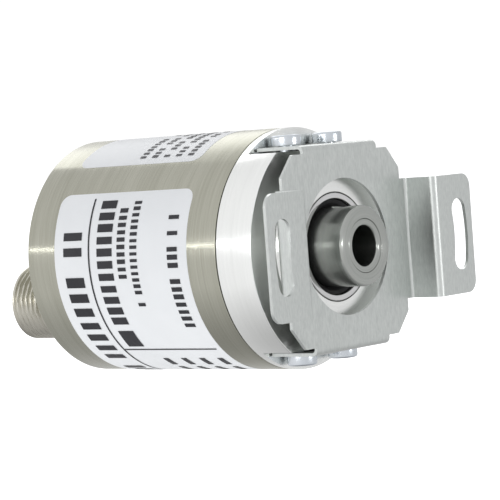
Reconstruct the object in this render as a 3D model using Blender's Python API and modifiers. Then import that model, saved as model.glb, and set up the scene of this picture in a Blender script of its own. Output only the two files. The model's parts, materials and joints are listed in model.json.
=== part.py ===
"""Absolute rotary encoder with a hollow shaft and a spring-sheet torque support.

Frame: metres, +Z up. The shaft's axis is the Y axis and +Y runs rearwards, from the shaft's mouth to the
connector. The origin is where that axis crosses the plane of the torque support's arm faces, which bolt
to the machine. +X is to the right seen from the front.
"""

import math

import bmesh
import bpy
from mathutils import Matrix, Vector

MM = 0.001

# Overall sizes
BODY_R = 18.25 * MM             # flange and housing, outside
HOUSING_L = 38.65 * MM          # housing cap, from the flange's shoulder to its rear face
HOUSING_WALL = 1.1 * MM
REAR_WALL = 2.4 * MM
REAR_CHAMFER = 0.7 * MM

# Flange
FLANGE_L = 6.55 * MM            # the full-diameter band in front of the housing
FLANGE_CHAMFER = 0.35 * MM
FLAT_DEPTH = 3.55 * MM          # of the two milled flats, from the outside
FLAT_L = 5.2 * MM               # how far the flats run back from the flange's front face
BOSS_WALL = 4.3 * MM            # round the shaft seal
BOSS_H = 1.7 * MM
BOSS_CHAMFER = 0.3 * MM
SPIGOT_L = 4.65 * MM            # plug that centres the housing cap
TUBE_WALL = 1.7 * MM            # wall round the bearings, behind the spigot
LIP_L = 1.0 * MM                # shoulder between the seal and the front bearing
LIP_GAP = 0.6 * MM              # from that shoulder's bore to the shaft's circlip
ORING_GROOVE_FRONT = 1.05 * MM  # from the flange's shoulder to the O-ring groove
TUBE_STANDOUT = 0.9 * MM        # past the retaining ring's rear face

# Torque support
SHEET = 0.5 * MM
BEND_R = 0.5 * MM               # inside radius of every bend
ARM_STEP = 5.4 * MM             # from the arm faces back to the main plate's front face
ARM_HALF_W = 9.2 * MM
ARM_REACH = 25.25 * MM          # from the axis to the end of an arm
ARM_CORNER_R = 2.0 * MM
LEG_X = 15.7 * MM               # inner face of the leg between the plate and an arm
PLATE_GAP = 1.4 * MM            # between the plate's back and the flange's boss
PLATE_HALF_W = 14.4 * MM
PLATE_CUT_W = 2.9 * MM          # corner cuts of the plate
PLATE_CUT_H = 3.2 * MM
PLATE_HOLE_GAP = 4.2 * MM       # between the plate's hole and the shaft
TAB_HALF_W = 9.0 * MM
TAB_END_GAP = 0.3 * MM          # between a tab's end and the flange's rim
TAB_GAP = 0.25 * MM             # between a tab and its flat
SLOT_PITCH_R = 22.1 * MM
SLOT_W = 3.5 * MM
SLOT_HALF_ANGLE = math.radians(9.8)
SCREW_X = 5.0 * MM              # bracket screws, either side of the middle
SCREW_RIM_GAP = 0.45 * MM       # between their heads and the flange's rim
SCREW_HEAD_R = 2.25 * MM
SCREW_HEAD_H = 1.6 * MM
SCREW_EDGE = 0.27 * MM          # chamfer of the head
SCREW_R = 1.2 * MM
SCREW_L = 4.1 * MM
SOCKET_R = 1.1 * MM
SOCKET_FLOOR = 0.64 * MM        # left under the hexagon socket

# Shaft and sleeve
SHAFT_R = 6.0 * MM
SHAFT_STANDOUT = 5.3 * MM       # in front of the boss
SHAFT_CHAMFER = 0.35 * MM
SLEEVE_R = 4.0 * MM
BORE_R = 3.0 * MM
BORE_DEPTH = 18.0 * MM
BORE_CHAMFER = 0.3 * MM
SLEEVE_SINK = 0.05 * MM         # behind the shaft's front face
SET_SCREW_R = 1.35 * MM
SET_SCREW_SINK = 0.45 * MM      # below the shaft's surface
SET_SCREW_BACK = 3.8 * MM       # behind the shaft's front face
SET_SCREW_SOCKET_R = 0.85 * MM
SET_SCREW_FLOOR = 0.65 * MM     # left under the hexagon socket
COLLAR_STEP = 1.0 * MM          # collar height above the shaft
COLLAR_L = 1.2 * MM
JOURNAL_R = 3.5 * MM
JOURNAL_L = 1.6 * MM

# Seal and bearings
SEAL_H = 2.1 * MM               # from the shaft to the seal's outside
SEAL_L = 1.7 * MM
SEAL_CASE_T = 0.9 * MM
SEAL_LIP_SINK = 0.45 * MM       # of the rubber behind the case's face
SEAL_LIP_SLOPE = 0.2 * MM       # of the rubber's face, towards the shaft
SEAL_LIP_EDGE = (0.25 * MM, 0.4 * MM)
SEAL_LIP_GAP = 0.08 * MM
BEARING_R = 10.4 * MM
BEARING_W = 5.0 * MM
BALLS = 8
GROOVE_DEPTH = 0.3 * MM         # how deep a ball sits in each ring
GROOVE_PLAY = 0.1 * MM
CAGE_PLAY = 0.3 * MM            # between the cage and each ring
CAGE_HALF_W = 1.7 * MM
SPACER_L = 2.0 * MM
OUTER_SPACER_T = 1.3 * MM
INNER_SPACER_T = 1.2 * MM
SNAP_GROOVE = 0.35 * MM
LUG_SHARE = 0.62                # a lug's radius as a share of its ring's breadth
CIRCLIP_T = 0.6 * MM
CIRCLIP_STEP = 1.1 * MM         # circlip height above the shaft
CIRCLIP_GAP = 90                # degrees
CIRCLIP_LUG_OUT = 0.3 * MM
RETAINER_T = 0.8 * MM
RETAINER_IN = 1.3 * MM          # how far the retaining ring stands in from the seat
RETAINER_GAP = 40               # degrees
RETAINER_LUG_IN = 0.5 * MM
SPRING_L = 0.9 * MM
SPRING_T = 0.2 * MM
SPRING_WAVES = 4
SPRING_PRESS = 0.9              # wave height under load, as a share of the free height

# Inside the housing
ORING_R = 0.65 * MM
STANDOFFS = 3
STANDOFF_R = 1.7 * MM
STANDOFF_GAP = 0.3 * MM         # between the standoffs and the bearing tube
STANDOFF_STUD_R = 0.85 * MM
STANDOFF_STUD_L = 2.6 * MM
STANDOFF_THREAD_L = 4.0 * MM
THREAD_CLEARANCE = 0.15 * MM
BOARD_SCREW_HEAD_R = 1.6 * MM
BOARD_SCREW_HEAD_H = 1.2 * MM
BOARD_SCREW_EDGE = 0.192 * MM
BOARD_SCREW_L = 3.5 * MM
BOARD_SCREW_SOCKET_R = 0.6 * MM
BOARD_SCREW_FLOOR = 0.48 * MM
BOARD_EDGE_GAP = 1.25 * MM      # between the boards and the housing
BOARD_T = 1.2 * MM
BOARD_BACK_ROOM = 4.6 * MM      # how much longer the room behind the rear standoffs is than they are
MAGNET_R = 3.0 * MM
MAGNET_L = 1.8 * MM
HOLDER_WALL = 1.5 * MM
HOLDER_WEB = 0.6 * MM
AIR_GAP = 0.7 * MM              # from the magnet holder to the sensor chip
CHIP_T = 1.0 * MM
SENSOR_CHIP_W = 5.0 * MM
PROCESSOR_CHIP_W = 7.0 * MM
COIL_R = 1.3 * MM
COIL_HALF_L = 5.0 * MM
COIL_Z = 9.5 * MM
HEADER_Z = -10.0 * MM
HEADER_SIZE = (12.0 * MM, 2.5 * MM)
TRANSCEIVER_PLACE = (7.0 * MM, -2.0 * MM)
TRANSCEIVER_SIZE = (4.0 * MM, 5.0 * MM)
TRANSCEIVER_T = 1.4 * MM
CAPACITOR_PLACE = (8.0 * MM, 6.0 * MM)
CAPACITOR_R = 2.0 * MM
CAPACITOR_L = 5.4 * MM

# Connector
CONNECTOR_ANGLE = math.radians(-126.33)     # from +X upwards
CONNECTOR_R = 5.95 * MM
CONNECTOR_WALL = 1.25 * MM
CONNECTOR_STANDOUT = 11.5 * MM
CONNECTOR_CHAMFER = 0.8 * MM
CONNECTOR_COLLAR_L = 2.2 * MM
CONNECTOR_COLLAR_WALL = 0.25 * MM   # outside the O-ring groove
CONNECTOR_EDGE_GAP = 1.11 * MM      # between the collar and the housing
CONNECTOR_ORING_R = 0.5 * MM
CONNECTOR_ORING_GAP = 0.2 * MM      # between the thread and the O-ring groove
INSERT_STANDOUT = 0.5 * MM
INSERT_WALL = 0.5 * MM
PIN_R = 0.5 * MM
PIN_RING = 4                    # pins round the middle one
PIN_PITCH_R = 2.5 * MM
PIN_L = 9.0 * MM
PIN_STANDOUT = 5.5 * MM         # in front of the insert's face
SOCKET_DEPTH = 8.0 * MM         # from the connector's mouth to the insert's face
LEAD_HALF_W = 2.5 * MM
LEAD_T = 0.3 * MM
LEAD_START_Z = 4.0 * MM

# Labels: distance behind the flange's shoulder, start and end angle from -X up
LABEL_T = 0.08 * MM
LABEL_REAR_GAP = 6.3 * MM       # from the labels to the housing's rear face
LABEL_STEP = math.radians(5)
TYPE_LABEL = (5.65 * MM, math.radians(-100), math.radians(34.5))
WIRING_LABEL = (7.75 * MM, math.radians(51.5), math.radians(128))

# Clearances
SEAT = 0.1 * MM                 # between turned pieces that fit in or on each other
REST = 0.2 * MM                 # between pieces that lie face to face
OVERCUT = 1.0 * MM              # how far cutters run past what they cut
WELD = 1e-6

# Stations along the axis, from the front
PLATE_Y = ARM_STEP
BOSS_Y = PLATE_Y + SHEET + PLATE_GAP
FLANGE_Y = BOSS_Y + BOSS_H
FLAT_END_Y = FLANGE_Y + FLAT_L
TAB_END_Y = FLAT_END_Y - TAB_END_GAP
JOINT_Y = FLANGE_Y + FLANGE_L
REAR_Y = JOINT_Y + HOUSING_L
SPIGOT_END_Y = JOINT_Y + SPIGOT_L
SCREW_Y = FLAT_END_Y - SCREW_RIM_GAP - SCREW_HEAD_R
SHAFT_Y = BOSS_Y - SHAFT_STANDOUT
LIP_Y = BOSS_Y + SEAL_L + SEAT
SEAT_Y = LIP_Y + LIP_L
FRONT_BEARING_Y = SEAT_Y + SEAT
SPACER_Y = FRONT_BEARING_Y + BEARING_W + SEAT
REAR_BEARING_Y = SPACER_Y + SPACER_L + SEAT
BEARINGS_END_Y = REAR_BEARING_Y + BEARING_W
COLLAR_Y = BEARINGS_END_Y + SEAT
SPRING_Y = BEARINGS_END_Y + SEAT
RETAINER_Y = SPRING_Y + SPRING_L + SEAT
TUBE_END_Y = RETAINER_Y + RETAINER_T + TUBE_STANDOUT
CIRCLIP_Y = FRONT_BEARING_Y - REST - CIRCLIP_T
JOURNAL_Y = COLLAR_Y + COLLAR_L
HOLDER_Y = JOURNAL_Y + SEAT
WEB_Y = JOURNAL_Y + JOURNAL_L + SEAT
MAGNET_Y = WEB_Y + HOLDER_WEB + SEAT
HOLDER_END_Y = MAGNET_Y + MAGNET_L + SEAT
CHIP_Y = HOLDER_END_Y + AIR_GAP
SENSOR_BOARD_Y = CHIP_Y + CHIP_T + SEAT
REAR_STANDOFF_Y = SENSOR_BOARD_Y + BOARD_T + REST
WALL_Y = REAR_Y - REAR_WALL
REAR_STANDOFF_L = (WALL_Y - REAR_STANDOFF_Y - BOARD_BACK_ROOM) / 2
INTERFACE_BOARD_Y = REAR_STANDOFF_Y + REAR_STANDOFF_L + REST
INTERFACE_BACK_Y = INTERFACE_BOARD_Y + BOARD_T
CONNECTOR_END_Y = REAR_Y + CONNECTOR_STANDOUT
INSERT_Y = CONNECTOR_END_Y - SOCKET_DEPTH

# Radii that follow from the sizes above
COLLAR_R = SHAFT_R + COLLAR_STEP
SEAL_R = SHAFT_R + SEAL_H
BOSS_R = SEAL_R + SEAT + BOSS_WALL
PLATE_HOLE_R = SHAFT_R + PLATE_HOLE_GAP
LIP_R = SHAFT_R + CIRCLIP_STEP + LIP_GAP
BALL_R = (BEARING_R - SHAFT_R) / 4
BALL_PITCH_R = (BEARING_R + SHAFT_R) / 2 + SEAT
RING_EDGE = BALL_R - GROOVE_DEPTH
CAGE_HALF_T = RING_EDGE - CAGE_PLAY
SEAT_R = BEARING_R + SEAT
TUBE_R = SEAT_R + TUBE_WALL
CAP_INNER_R = BODY_R - HOUSING_WALL
SPIGOT_R = CAP_INNER_R - SEAT
ORING_GROOVE_R = SPIGOT_R - 2 * ORING_R - SEAT
BOARD_R = CAP_INNER_R - BOARD_EDGE_GAP
STANDOFF_PITCH_R = TUBE_R + STANDOFF_GAP + STANDOFF_R
FLAT_Z = BODY_R - FLAT_DEPTH
TAB_Z = FLAT_Z + TAB_GAP
PLATE_HALF_H = TAB_Z - BEND_R - TAB_GAP
PLATE_SIDE_Z = PLATE_HALF_H - PLATE_CUT_H
PLATE_TOP_X = PLATE_HALF_W - PLATE_CUT_W
CONNECTOR_BORE_R = CONNECTOR_R - CONNECTOR_WALL
CONNECTOR_GROOVE_IN = CONNECTOR_R + CONNECTOR_ORING_GAP
CONNECTOR_GROOVE_OUT = CONNECTOR_GROOVE_IN + 2 * CONNECTOR_ORING_R + 2 * SEAT
CONNECTOR_COLLAR_R = CONNECTOR_GROOVE_OUT + CONNECTOR_COLLAR_WALL
CONNECTOR_OFFSET = CAP_INNER_R - CONNECTOR_COLLAR_R - CONNECTOR_EDGE_GAP
CONNECTOR_X = CONNECTOR_OFFSET * math.cos(CONNECTOR_ANGLE)
CONNECTOR_Z = CONNECTOR_OFFSET * math.sin(CONNECTOR_ANGLE)

ROUND = 40                      # segments of large turned pieces
MEDIUM_ROUND = 28
CAGE_ROUND = 24
SMALL_ROUND = 16
DRILL_ROUND = 12
SECTION_ROUND = 8               # round an O-ring's section
BEND_STEPS = 4


# ---------------------------------------------------------------- scene helpers

def clear_scene():
    for obj in list(bpy.data.objects):
        bpy.data.objects.remove(obj, do_unlink=True)


def new_collection(name):
    collection = bpy.data.collections.new(name)
    bpy.context.scene.collection.children.link(collection)
    return collection


clear_scene()
PARTS = new_collection("rotary_encoder")
CUTTERS = new_collection("cutters")
ROOT = bpy.data.objects.new("encoder_origin", None)
SHAFT_AXIS = bpy.data.objects.new("shaft_axis", None)
for empty in (ROOT, SHAFT_AXIS):
    PARTS.objects.link(empty)
SHAFT_AXIS.parent = ROOT


def make_material(name, color, roughness, metallic):
    material = bpy.data.materials.new(name)
    material.use_nodes = True
    shader = material.node_tree.nodes["Principled BSDF"]
    shader.inputs["Base Color"].default_value = (*color, 1.0)
    shader.inputs["Roughness"].default_value = roughness
    shader.inputs["Metallic"].default_value = metallic
    material.diffuse_color = (*color, 1.0)
    return material


MATERIALS = {
    "housing": make_material("housing", (0.58, 0.57, 0.50), 0.38, 1.0),
    "flange": make_material("flange", (0.82, 0.83, 0.82), 0.34, 1.0),
    "spring_sheet": make_material("spring_sheet", (0.62, 0.64, 0.62), 0.32, 1.0),
    "shaft_steel": make_material("shaft_steel", (0.50, 0.50, 0.47), 0.25, 1.0),
    "bearing_steel": make_material("bearing_steel", (0.70, 0.71, 0.72), 0.15, 1.0),
    "zinc": make_material("zinc", (0.66, 0.70, 0.74), 0.30, 1.0),
    "black_oxide": make_material("black_oxide", (0.05, 0.05, 0.06), 0.45, 1.0),
    "rubber": make_material("rubber", (0.02, 0.02, 0.02), 0.60, 0.0),
    "black_plastic": make_material("black_plastic", (0.03, 0.03, 0.03), 0.50, 0.0),
    "magnet": make_material("magnet", (0.35, 0.35, 0.36), 0.35, 1.0),
    "circuit_board": make_material("circuit_board", (0.02, 0.16, 0.07), 0.45, 0.0),
    "nickel": make_material("nickel", (0.60, 0.58, 0.50), 0.28, 1.0),
    "gold": make_material("gold", (0.83, 0.62, 0.25), 0.25, 1.0),
    "brass": make_material("brass", (0.72, 0.55, 0.28), 0.30, 1.0),
    "label": make_material("label", (0.90, 0.90, 0.91), 0.45, 0.0),
    "lead": make_material("lead", (0.55, 0.35, 0.10), 0.45, 0.0),
}


def add_object(name, mesh, material, parent):
    obj = bpy.data.objects.new(name, mesh)
    PARTS.objects.link(obj)
    obj.parent = parent
    mesh.materials.clear()
    mesh.materials.append(MATERIALS[material])
    return obj


def mesh_from(name, bm):
    mesh = bpy.data.meshes.new(name)
    bm.to_mesh(mesh)
    bm.free()
    return mesh


def frozen(obj):
    """Return the evaluated mesh of an object and remove the object."""
    bpy.context.view_layer.update()
    evaluated = obj.evaluated_get(bpy.context.evaluated_depsgraph_get())
    mesh = bpy.data.meshes.new_from_object(evaluated)
    mesh.name = obj.name
    bpy.data.objects.remove(obj, do_unlink=True)
    return mesh


# ---------------------------------------------------------------- shape helpers

# A turned piece is drawn about local Z; this turns that axis to +Y.
ALONG_Y = Matrix.Rotation(math.radians(-90), 4, "X")


def arc(centre, radius, start, end, steps):
    """Points on an arc, both ends included. Angles in radians."""
    angles = [start + (end - start) * i / steps for i in range(steps + 1)]
    return [(centre[0] + radius * math.cos(a), centre[1] + radius * math.sin(a)) for a in angles]


def circle(centre, radius, steps):
    return arc(centre, radius, 0.0, 2 * math.pi * (steps - 1) / steps, steps - 1)


def turned(name, profile, material, closed=True, segments=ROUND, place=ALONG_Y, parent=ROOT):
    """Turn a profile of (radius, height) points, which runs down its outer side."""
    mesh = bpy.data.meshes.new(name)
    count = len(profile)
    edges = [(i, i + 1) for i in range(count - 1)]
    if closed:
        edges.append((count - 1, 0))
    mesh.from_pydata([(r, 0.0, h) for r, h in profile], edges, [])
    obj = add_object(name, mesh, material, parent)
    obj.matrix_world = place
    screw = obj.modifiers.new("turn", "SCREW")
    screw.axis = "Z"
    screw.angle = 2 * math.pi
    screw.steps = segments
    screw.render_steps = segments
    screw.use_merge_vertices = True
    screw.merge_threshold = WELD
    screw.use_smooth_shade = False
    return obj


def ring_profile(inner, outer, front, back):
    return [(outer, back), (outer, front), (inner, front), (inner, back)]


def weld(mesh, place=Matrix()):
    """Join coincident points and move the mesh."""
    bm = bmesh.new()
    bm.from_mesh(mesh)
    bmesh.ops.remove_doubles(bm, verts=bm.verts, dist=WELD)
    bm.transform(place)
    bm.to_mesh(mesh)
    bm.free()


def flat_plate(name, outline, holes, centre, thickness, to_world):
    """A flat outline with holes, made as a 2D curve and turned into one welded mesh."""
    curve = bpy.data.curves.new(name, "CURVE")
    curve.dimensions = "2D"
    curve.fill_mode = "BOTH"
    curve.extrude = thickness / 2
    for loop in [outline, *holes]:
        spline = curve.splines.new("POLY")
        spline.points.add(len(loop) - 1)
        for point, (x, y) in zip(spline.points, loop):
            point.co = (x, y, 0.0, 1.0)
        spline.use_cyclic_u = True
    guide = bpy.data.objects.new(name + "_outline", curve)
    bpy.context.scene.collection.objects.link(guide)
    mesh = frozen(guide)
    weld(mesh, Matrix.Translation(centre) @ to_world)
    mesh.name = name
    return mesh


# An outline drawn in (x, z), given thickness along Y.
FACING_Y = Matrix(((1, 0, 0, 0), (0, 0, -1, 0), (0, 1, 0, 0), (0, 0, 0, 1)))


def plate_facing_y(name, outline, holes, front, back):
    middle = Vector((0.0, (front + back) / 2, 0.0))
    return flat_plate(name, outline, holes, middle, back - front, FACING_Y)


def box_mesh(name, low, high):
    bm = bmesh.new()
    bmesh.ops.create_cube(bm, size=1.0)
    size = [h - l for l, h in zip(low, high)]
    middle = [(h + l) / 2 for l, h in zip(low, high)]
    bm.transform(Matrix.Translation(middle) @ Matrix.Diagonal((*size, 1.0)))
    return mesh_from(name, bm)


def rod_mesh(name, radius, start, end, segments=DRILL_ROUND):
    """A closed cylinder between two points."""
    start = Vector(start)
    along = Vector(end) - start
    bm = bmesh.new()
    bmesh.ops.create_cone(
        bm, cap_ends=True, segments=segments, radius1=radius, radius2=radius, depth=along.length)
    turn = along.to_track_quat("Z", "Y").to_matrix().to_4x4()
    bm.transform(Matrix.Translation(start + along / 2) @ turn)
    return mesh_from(name, bm)


def sheet_mesh(name, rows):
    """An open surface through rows of points."""
    bm = bmesh.new()
    grid = [[bm.verts.new(point) for point in row] for row in rows]
    for upper, lower in zip(grid, grid[1:]):
        for i in range(len(upper) - 1):
            bm.faces.new((upper[i], upper[i + 1], lower[i + 1], lower[i]))
    return mesh_from(name, bm)


def thicken(obj, thickness, offset):
    solid = obj.modifiers.new("thickness", "SOLIDIFY")
    solid.thickness = thickness
    solid.offset = offset
    solid.use_even_offset = True


def combine(obj, mesh, operation):
    """Boolean with a cutter made from a mesh."""
    cutter = bpy.data.objects.new(mesh.name, mesh)
    CUTTERS.objects.link(cutter)
    cutter.hide_render = True
    cutter.display_type = "WIRE"
    boolean = obj.modifiers.new(mesh.name, "BOOLEAN")
    boolean.operation = operation
    boolean.solver = "EXACT"
    boolean.object = cutter


def cut(obj, mesh):
    combine(obj, mesh, "DIFFERENCE")


def around(count, start=90.0):
    """Angles in radians, evenly spread."""
    return [math.radians(start + 360.0 * i / count) for i in range(count)]


def standoff_places():
    """Centres of the standoffs in (x, z)."""
    places = []
    for angle in around(STANDOFFS):
        places.append((STANDOFF_PITCH_R * math.cos(angle), STANDOFF_PITCH_R * math.sin(angle)))
    return places


# ---------------------------------------------------------------- housing and flange

def housing_cap():
    front = JOINT_Y + REST
    profile = [
        (0.0, REAR_Y),
        (BODY_R - REAR_CHAMFER, REAR_Y),
        (BODY_R, REAR_Y - REAR_CHAMFER),
        (BODY_R, front),
        (CAP_INNER_R, front),
        (CAP_INNER_R, WALL_Y),
        (0.0, WALL_Y),
    ]
    cap = turned("housing_cap", profile, "housing", closed=False)
    hole_start = (CONNECTOR_X, WALL_Y - OVERCUT, CONNECTOR_Z)
    hole_end = (CONNECTOR_X, REAR_Y + OVERCUT, CONNECTOR_Z)
    cut(cap, rod_mesh("connector_hole", CONNECTOR_R + SEAT, hole_start, hole_end, MEDIUM_ROUND))


def flange():
    groove_front = JOINT_Y + ORING_GROOVE_FRONT
    groove_back = groove_front + 2 * ORING_R + 2 * SEAT
    profile = [
        (TUBE_R, TUBE_END_Y),
        (TUBE_R, SPIGOT_END_Y),
        (SPIGOT_R, SPIGOT_END_Y),
        (SPIGOT_R, groove_back),
        (ORING_GROOVE_R, groove_back),
        (ORING_GROOVE_R, groove_front),
        (SPIGOT_R, groove_front),
        (SPIGOT_R, JOINT_Y),
        (BODY_R, JOINT_Y),
        (BODY_R, FLANGE_Y + FLANGE_CHAMFER),
        (BODY_R - FLANGE_CHAMFER, FLANGE_Y),
        (BOSS_R, FLANGE_Y),
        (BOSS_R, BOSS_Y + BOSS_CHAMFER),
        (BOSS_R - BOSS_CHAMFER, BOSS_Y),
        (SEAL_R + SEAT, BOSS_Y),
        (SEAL_R + SEAT, LIP_Y),
        (LIP_R, LIP_Y),
        (LIP_R, SEAT_Y),
        (SEAT_R, SEAT_Y),
        (SEAT_R, RETAINER_Y - SEAT),
        (SEAT_R + SNAP_GROOVE + SEAT, RETAINER_Y - SEAT),
        (SEAT_R + SNAP_GROOVE + SEAT, RETAINER_Y + RETAINER_T + SEAT),
        (SEAT_R, RETAINER_Y + RETAINER_T + SEAT),
        (SEAT_R, TUBE_END_Y),
    ]
    body = turned("flange", profile, "flange")
    reach = BODY_R + OVERCUT
    for name, side in (("top", 1), ("bottom", -1)):
        z_span = sorted((side * FLAT_Z, side * reach))
        low = (-reach, FLANGE_Y - OVERCUT, z_span[0])
        high = (reach, FLAT_END_Y, z_span[1])
        cut(body, box_mesh("flat_" + name, low, high))
        for x in (-SCREW_X, SCREW_X):
            mouth = (x, SCREW_Y, side * (FLAT_Z + OVERCUT))
            bottom = (x, SCREW_Y, side * (FLAT_Z - SCREW_L + TAB_GAP + SHEET))
            cut(body, rod_mesh(f"bracket_thread_{name}", SCREW_R + REST, mouth, bottom))
    for x, z in standoff_places():
        mouth = (x, SPIGOT_END_Y + OVERCUT, z)
        bottom = (x, SPIGOT_END_Y - STANDOFF_STUD_L - 2 * REST, z)
        cut(body, rod_mesh("standoff_thread", STANDOFF_STUD_R + THREAD_CLEARANCE, mouth, bottom))


def o_ring(name, ring_r, section_r, centre, segments):
    """A rubber ring about an axis along Y."""
    profile = circle((ring_r, centre[1]), section_r, SECTION_ROUND)
    profile.reverse()
    place = Matrix.Translation((centre[0], 0.0, centre[2])) @ ALONG_Y
    ring = turned(name, profile, "rubber", segments=segments, place=place)
    ring.modifiers["turn"].use_smooth_shade = True


# ---------------------------------------------------------------- torque support

def arm_centreline():
    """Middle of the sheet in (x, y), from the plate's middle out to the end of the right arm."""
    half = SHEET / 2
    bend = BEND_R + half
    leg = LEG_X + half
    first = (leg - bend, PLATE_Y + half - bend)
    second = (leg + bend, half + bend)
    path = [(0.0, PLATE_Y + half)]
    path += arc(first, bend, math.radians(90), 0.0, BEND_STEPS)
    path += arc(second, bend, math.radians(180), math.radians(270), BEND_STEPS)
    path.append((ARM_REACH + OVERCUT, half))
    return path


def tab_centreline():
    """Middle of the sheet in (y, z), from the plate's middle up and back along the top flat."""
    half = SHEET / 2
    bend = BEND_R + half
    corner = (PLATE_Y + half + bend, TAB_Z + half - bend)
    path = [(PLATE_Y + half, 0.0)]
    path += arc(corner, bend, math.radians(180), math.radians(90), BEND_STEPS)
    path.append((TAB_END_Y, TAB_Z + half))
    return path


def arm_slot(side):
    """Outline of the curved slot in one arm, concentric with the shaft."""
    half = SLOT_W / 2
    middle = 0.0 if side > 0 else math.pi
    low = middle - SLOT_HALF_ANGLE
    high = middle + SLOT_HALF_ANGLE
    low_end = (SLOT_PITCH_R * math.cos(low), SLOT_PITCH_R * math.sin(low))
    high_end = (SLOT_PITCH_R * math.cos(high), SLOT_PITCH_R * math.sin(high))
    points = arc((0, 0), SLOT_PITCH_R + half, low, high, 8)
    points += arc(high_end, half, high, high + math.pi, 8)[1:-1]
    points += arc((0, 0), SLOT_PITCH_R - half, high, low, 8)
    points += arc(low_end, half, low + math.pi, low + 2 * math.pi, 8)[1:-1]
    return points


def rounded_rectangle(half_w, half_h, radius, steps=5):
    points = []
    corners = ((1, 1, 0), (-1, 1, 90), (-1, -1, 180), (1, -1, 270))
    for sx, sy, start in corners:
        centre = (sx * (half_w - radius), sy * (half_h - radius))
        points += arc(centre, radius, math.radians(start), math.radians(start + 90), steps)
    return points


def torque_bracket():
    """One bent sheet: main plate, two tabs folded back and two stepped arms."""
    right = arm_centreline()
    path = [(-x, y) for x, y in reversed(right[1:])] + right[1:]
    over = ARM_HALF_W + OVERCUT
    rows = [[(x, y, z) for x, y in path] for z in (over, -over)]
    bracket = add_object("torque_bracket", sheet_mesh("torque_bracket", rows), "spring_sheet", ROOT)
    thicken(bracket, SHEET, 0.0)
    slab = rounded_rectangle(ARM_REACH, ARM_HALF_W, ARM_CORNER_R)
    trim = plate_facing_y("arm_outline", slab, [], -OVERCUT, PLATE_Y + SHEET + OVERCUT)
    combine(bracket, trim, "INTERSECT")

    corners = [(PLATE_HALF_W, PLATE_SIDE_Z), (PLATE_TOP_X, PLATE_HALF_H)]
    quarter = [corners, [(-x, z) for x, z in reversed(corners)]]
    outline = quarter[0] + quarter[1]
    outline += [(-x, -z) for x, z in outline]
    plate = plate_facing_y("main_plate", outline, [], PLATE_Y, PLATE_Y + SHEET)
    combine(bracket, plate, "UNION")

    upper = tab_centreline()
    fold = [(y, -z) for y, z in reversed(upper[1:])] + upper[1:]
    rows = [[(x, y, z) for y, z in fold] for x in (-TAB_HALF_W, TAB_HALF_W)]
    tabs = bpy.data.objects.new("tabs", sheet_mesh("tabs", rows))
    bpy.context.scene.collection.objects.link(tabs)
    thicken(tabs, SHEET, 0.0)
    combine(bracket, frozen(tabs), "UNION")

    hole = circle((0, 0), PLATE_HOLE_R, ROUND)
    cut(bracket, plate_facing_y("plate_hole", hole, [], PLATE_Y - OVERCUT, PLATE_Y + SHEET + OVERCUT))
    for name, side in (("right_slot", 1), ("left_slot", -1)):
        cut(bracket, plate_facing_y(name, arm_slot(side), [], -OVERCUT, SHEET + OVERCUT))
    for x in (-SCREW_X, SCREW_X):
        top = (x, SCREW_Y, TAB_Z + SHEET + OVERCUT)
        bottom = (x, SCREW_Y, -TAB_Z - SHEET - OVERCUT)
        cut(bracket, rod_mesh("tab_holes", SCREW_R + REST, top, bottom))


def screw_mesh(name, head_r, head_h, edge, shank_r, shank_l, socket_r, floor):
    """A cheese-head screw with a hexagon socket; the head sits on local z = 0."""
    profile = [
        (0.0, head_h), (head_r - edge, head_h), (head_r, head_h - edge), (head_r, 0.0),
        (shank_r, 0.0), (shank_r, -shank_l), (0.0, -shank_l),
    ]
    screw = turned(name, profile, "zinc", closed=False, segments=SMALL_ROUND, place=Matrix())
    cut(screw, rod_mesh(name + "_socket", socket_r, (0, 0, floor), (0, 0, head_h + OVERCUT), 6))
    return frozen(screw)


def bracket_screws():
    mesh = screw_mesh("bracket_screw", SCREW_HEAD_R, SCREW_HEAD_H, SCREW_EDGE, SCREW_R, SCREW_L,
                      SOCKET_R, SOCKET_FLOOR)
    seat = TAB_Z + SHEET + SEAT
    for name, side in (("top", 1), ("bottom", -1)):
        turn = Matrix() if side > 0 else Matrix.Rotation(math.pi, 4, "X")
        for label, x in (("left", -SCREW_X), ("right", SCREW_X)):
            screw = add_object(f"bracket_screw_{name}_{label}", mesh, "zinc", ROOT)
            screw.matrix_world = Matrix.Translation((x, SCREW_Y, side * seat)) @ turn


# ---------------------------------------------------------------- shaft

def hollow_shaft():
    bore_r = SLEEVE_R + SEAT
    bore_end = SHAFT_Y + BORE_DEPTH + REST
    groove_r = SHAFT_R - SNAP_GROOVE
    profile = [
        (0.0, JOURNAL_Y + JOURNAL_L),
        (JOURNAL_R, JOURNAL_Y + JOURNAL_L),
        (JOURNAL_R, JOURNAL_Y),
        (COLLAR_R, JOURNAL_Y),
        (COLLAR_R, COLLAR_Y),
        (SHAFT_R, COLLAR_Y),
        (SHAFT_R, CIRCLIP_Y + CIRCLIP_T + SEAT),
        (groove_r, CIRCLIP_Y + CIRCLIP_T + SEAT),
        (groove_r, CIRCLIP_Y - SEAT),
        (SHAFT_R, CIRCLIP_Y - SEAT),
        (SHAFT_R, SHAFT_Y + SHAFT_CHAMFER),
        (SHAFT_R - SHAFT_CHAMFER, SHAFT_Y),
        (bore_r, SHAFT_Y),
        (bore_r, bore_end),
        (0.0, bore_end),
    ]
    shaft = turned("hollow_shaft", profile, "shaft_steel", closed=False, parent=SHAFT_AXIS)
    y = SHAFT_Y + SET_SCREW_BACK
    for direction in (Vector((0, 0, 1)), Vector((1, 0, 0))):
        outer = direction * (SHAFT_R + OVERCUT) + Vector((0, y, 0))
        inner = direction * (SLEEVE_R / 2) + Vector((0, y, 0))
        cut(shaft, rod_mesh("set_screw_thread", SET_SCREW_R + SEAT, outer, inner))


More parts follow.
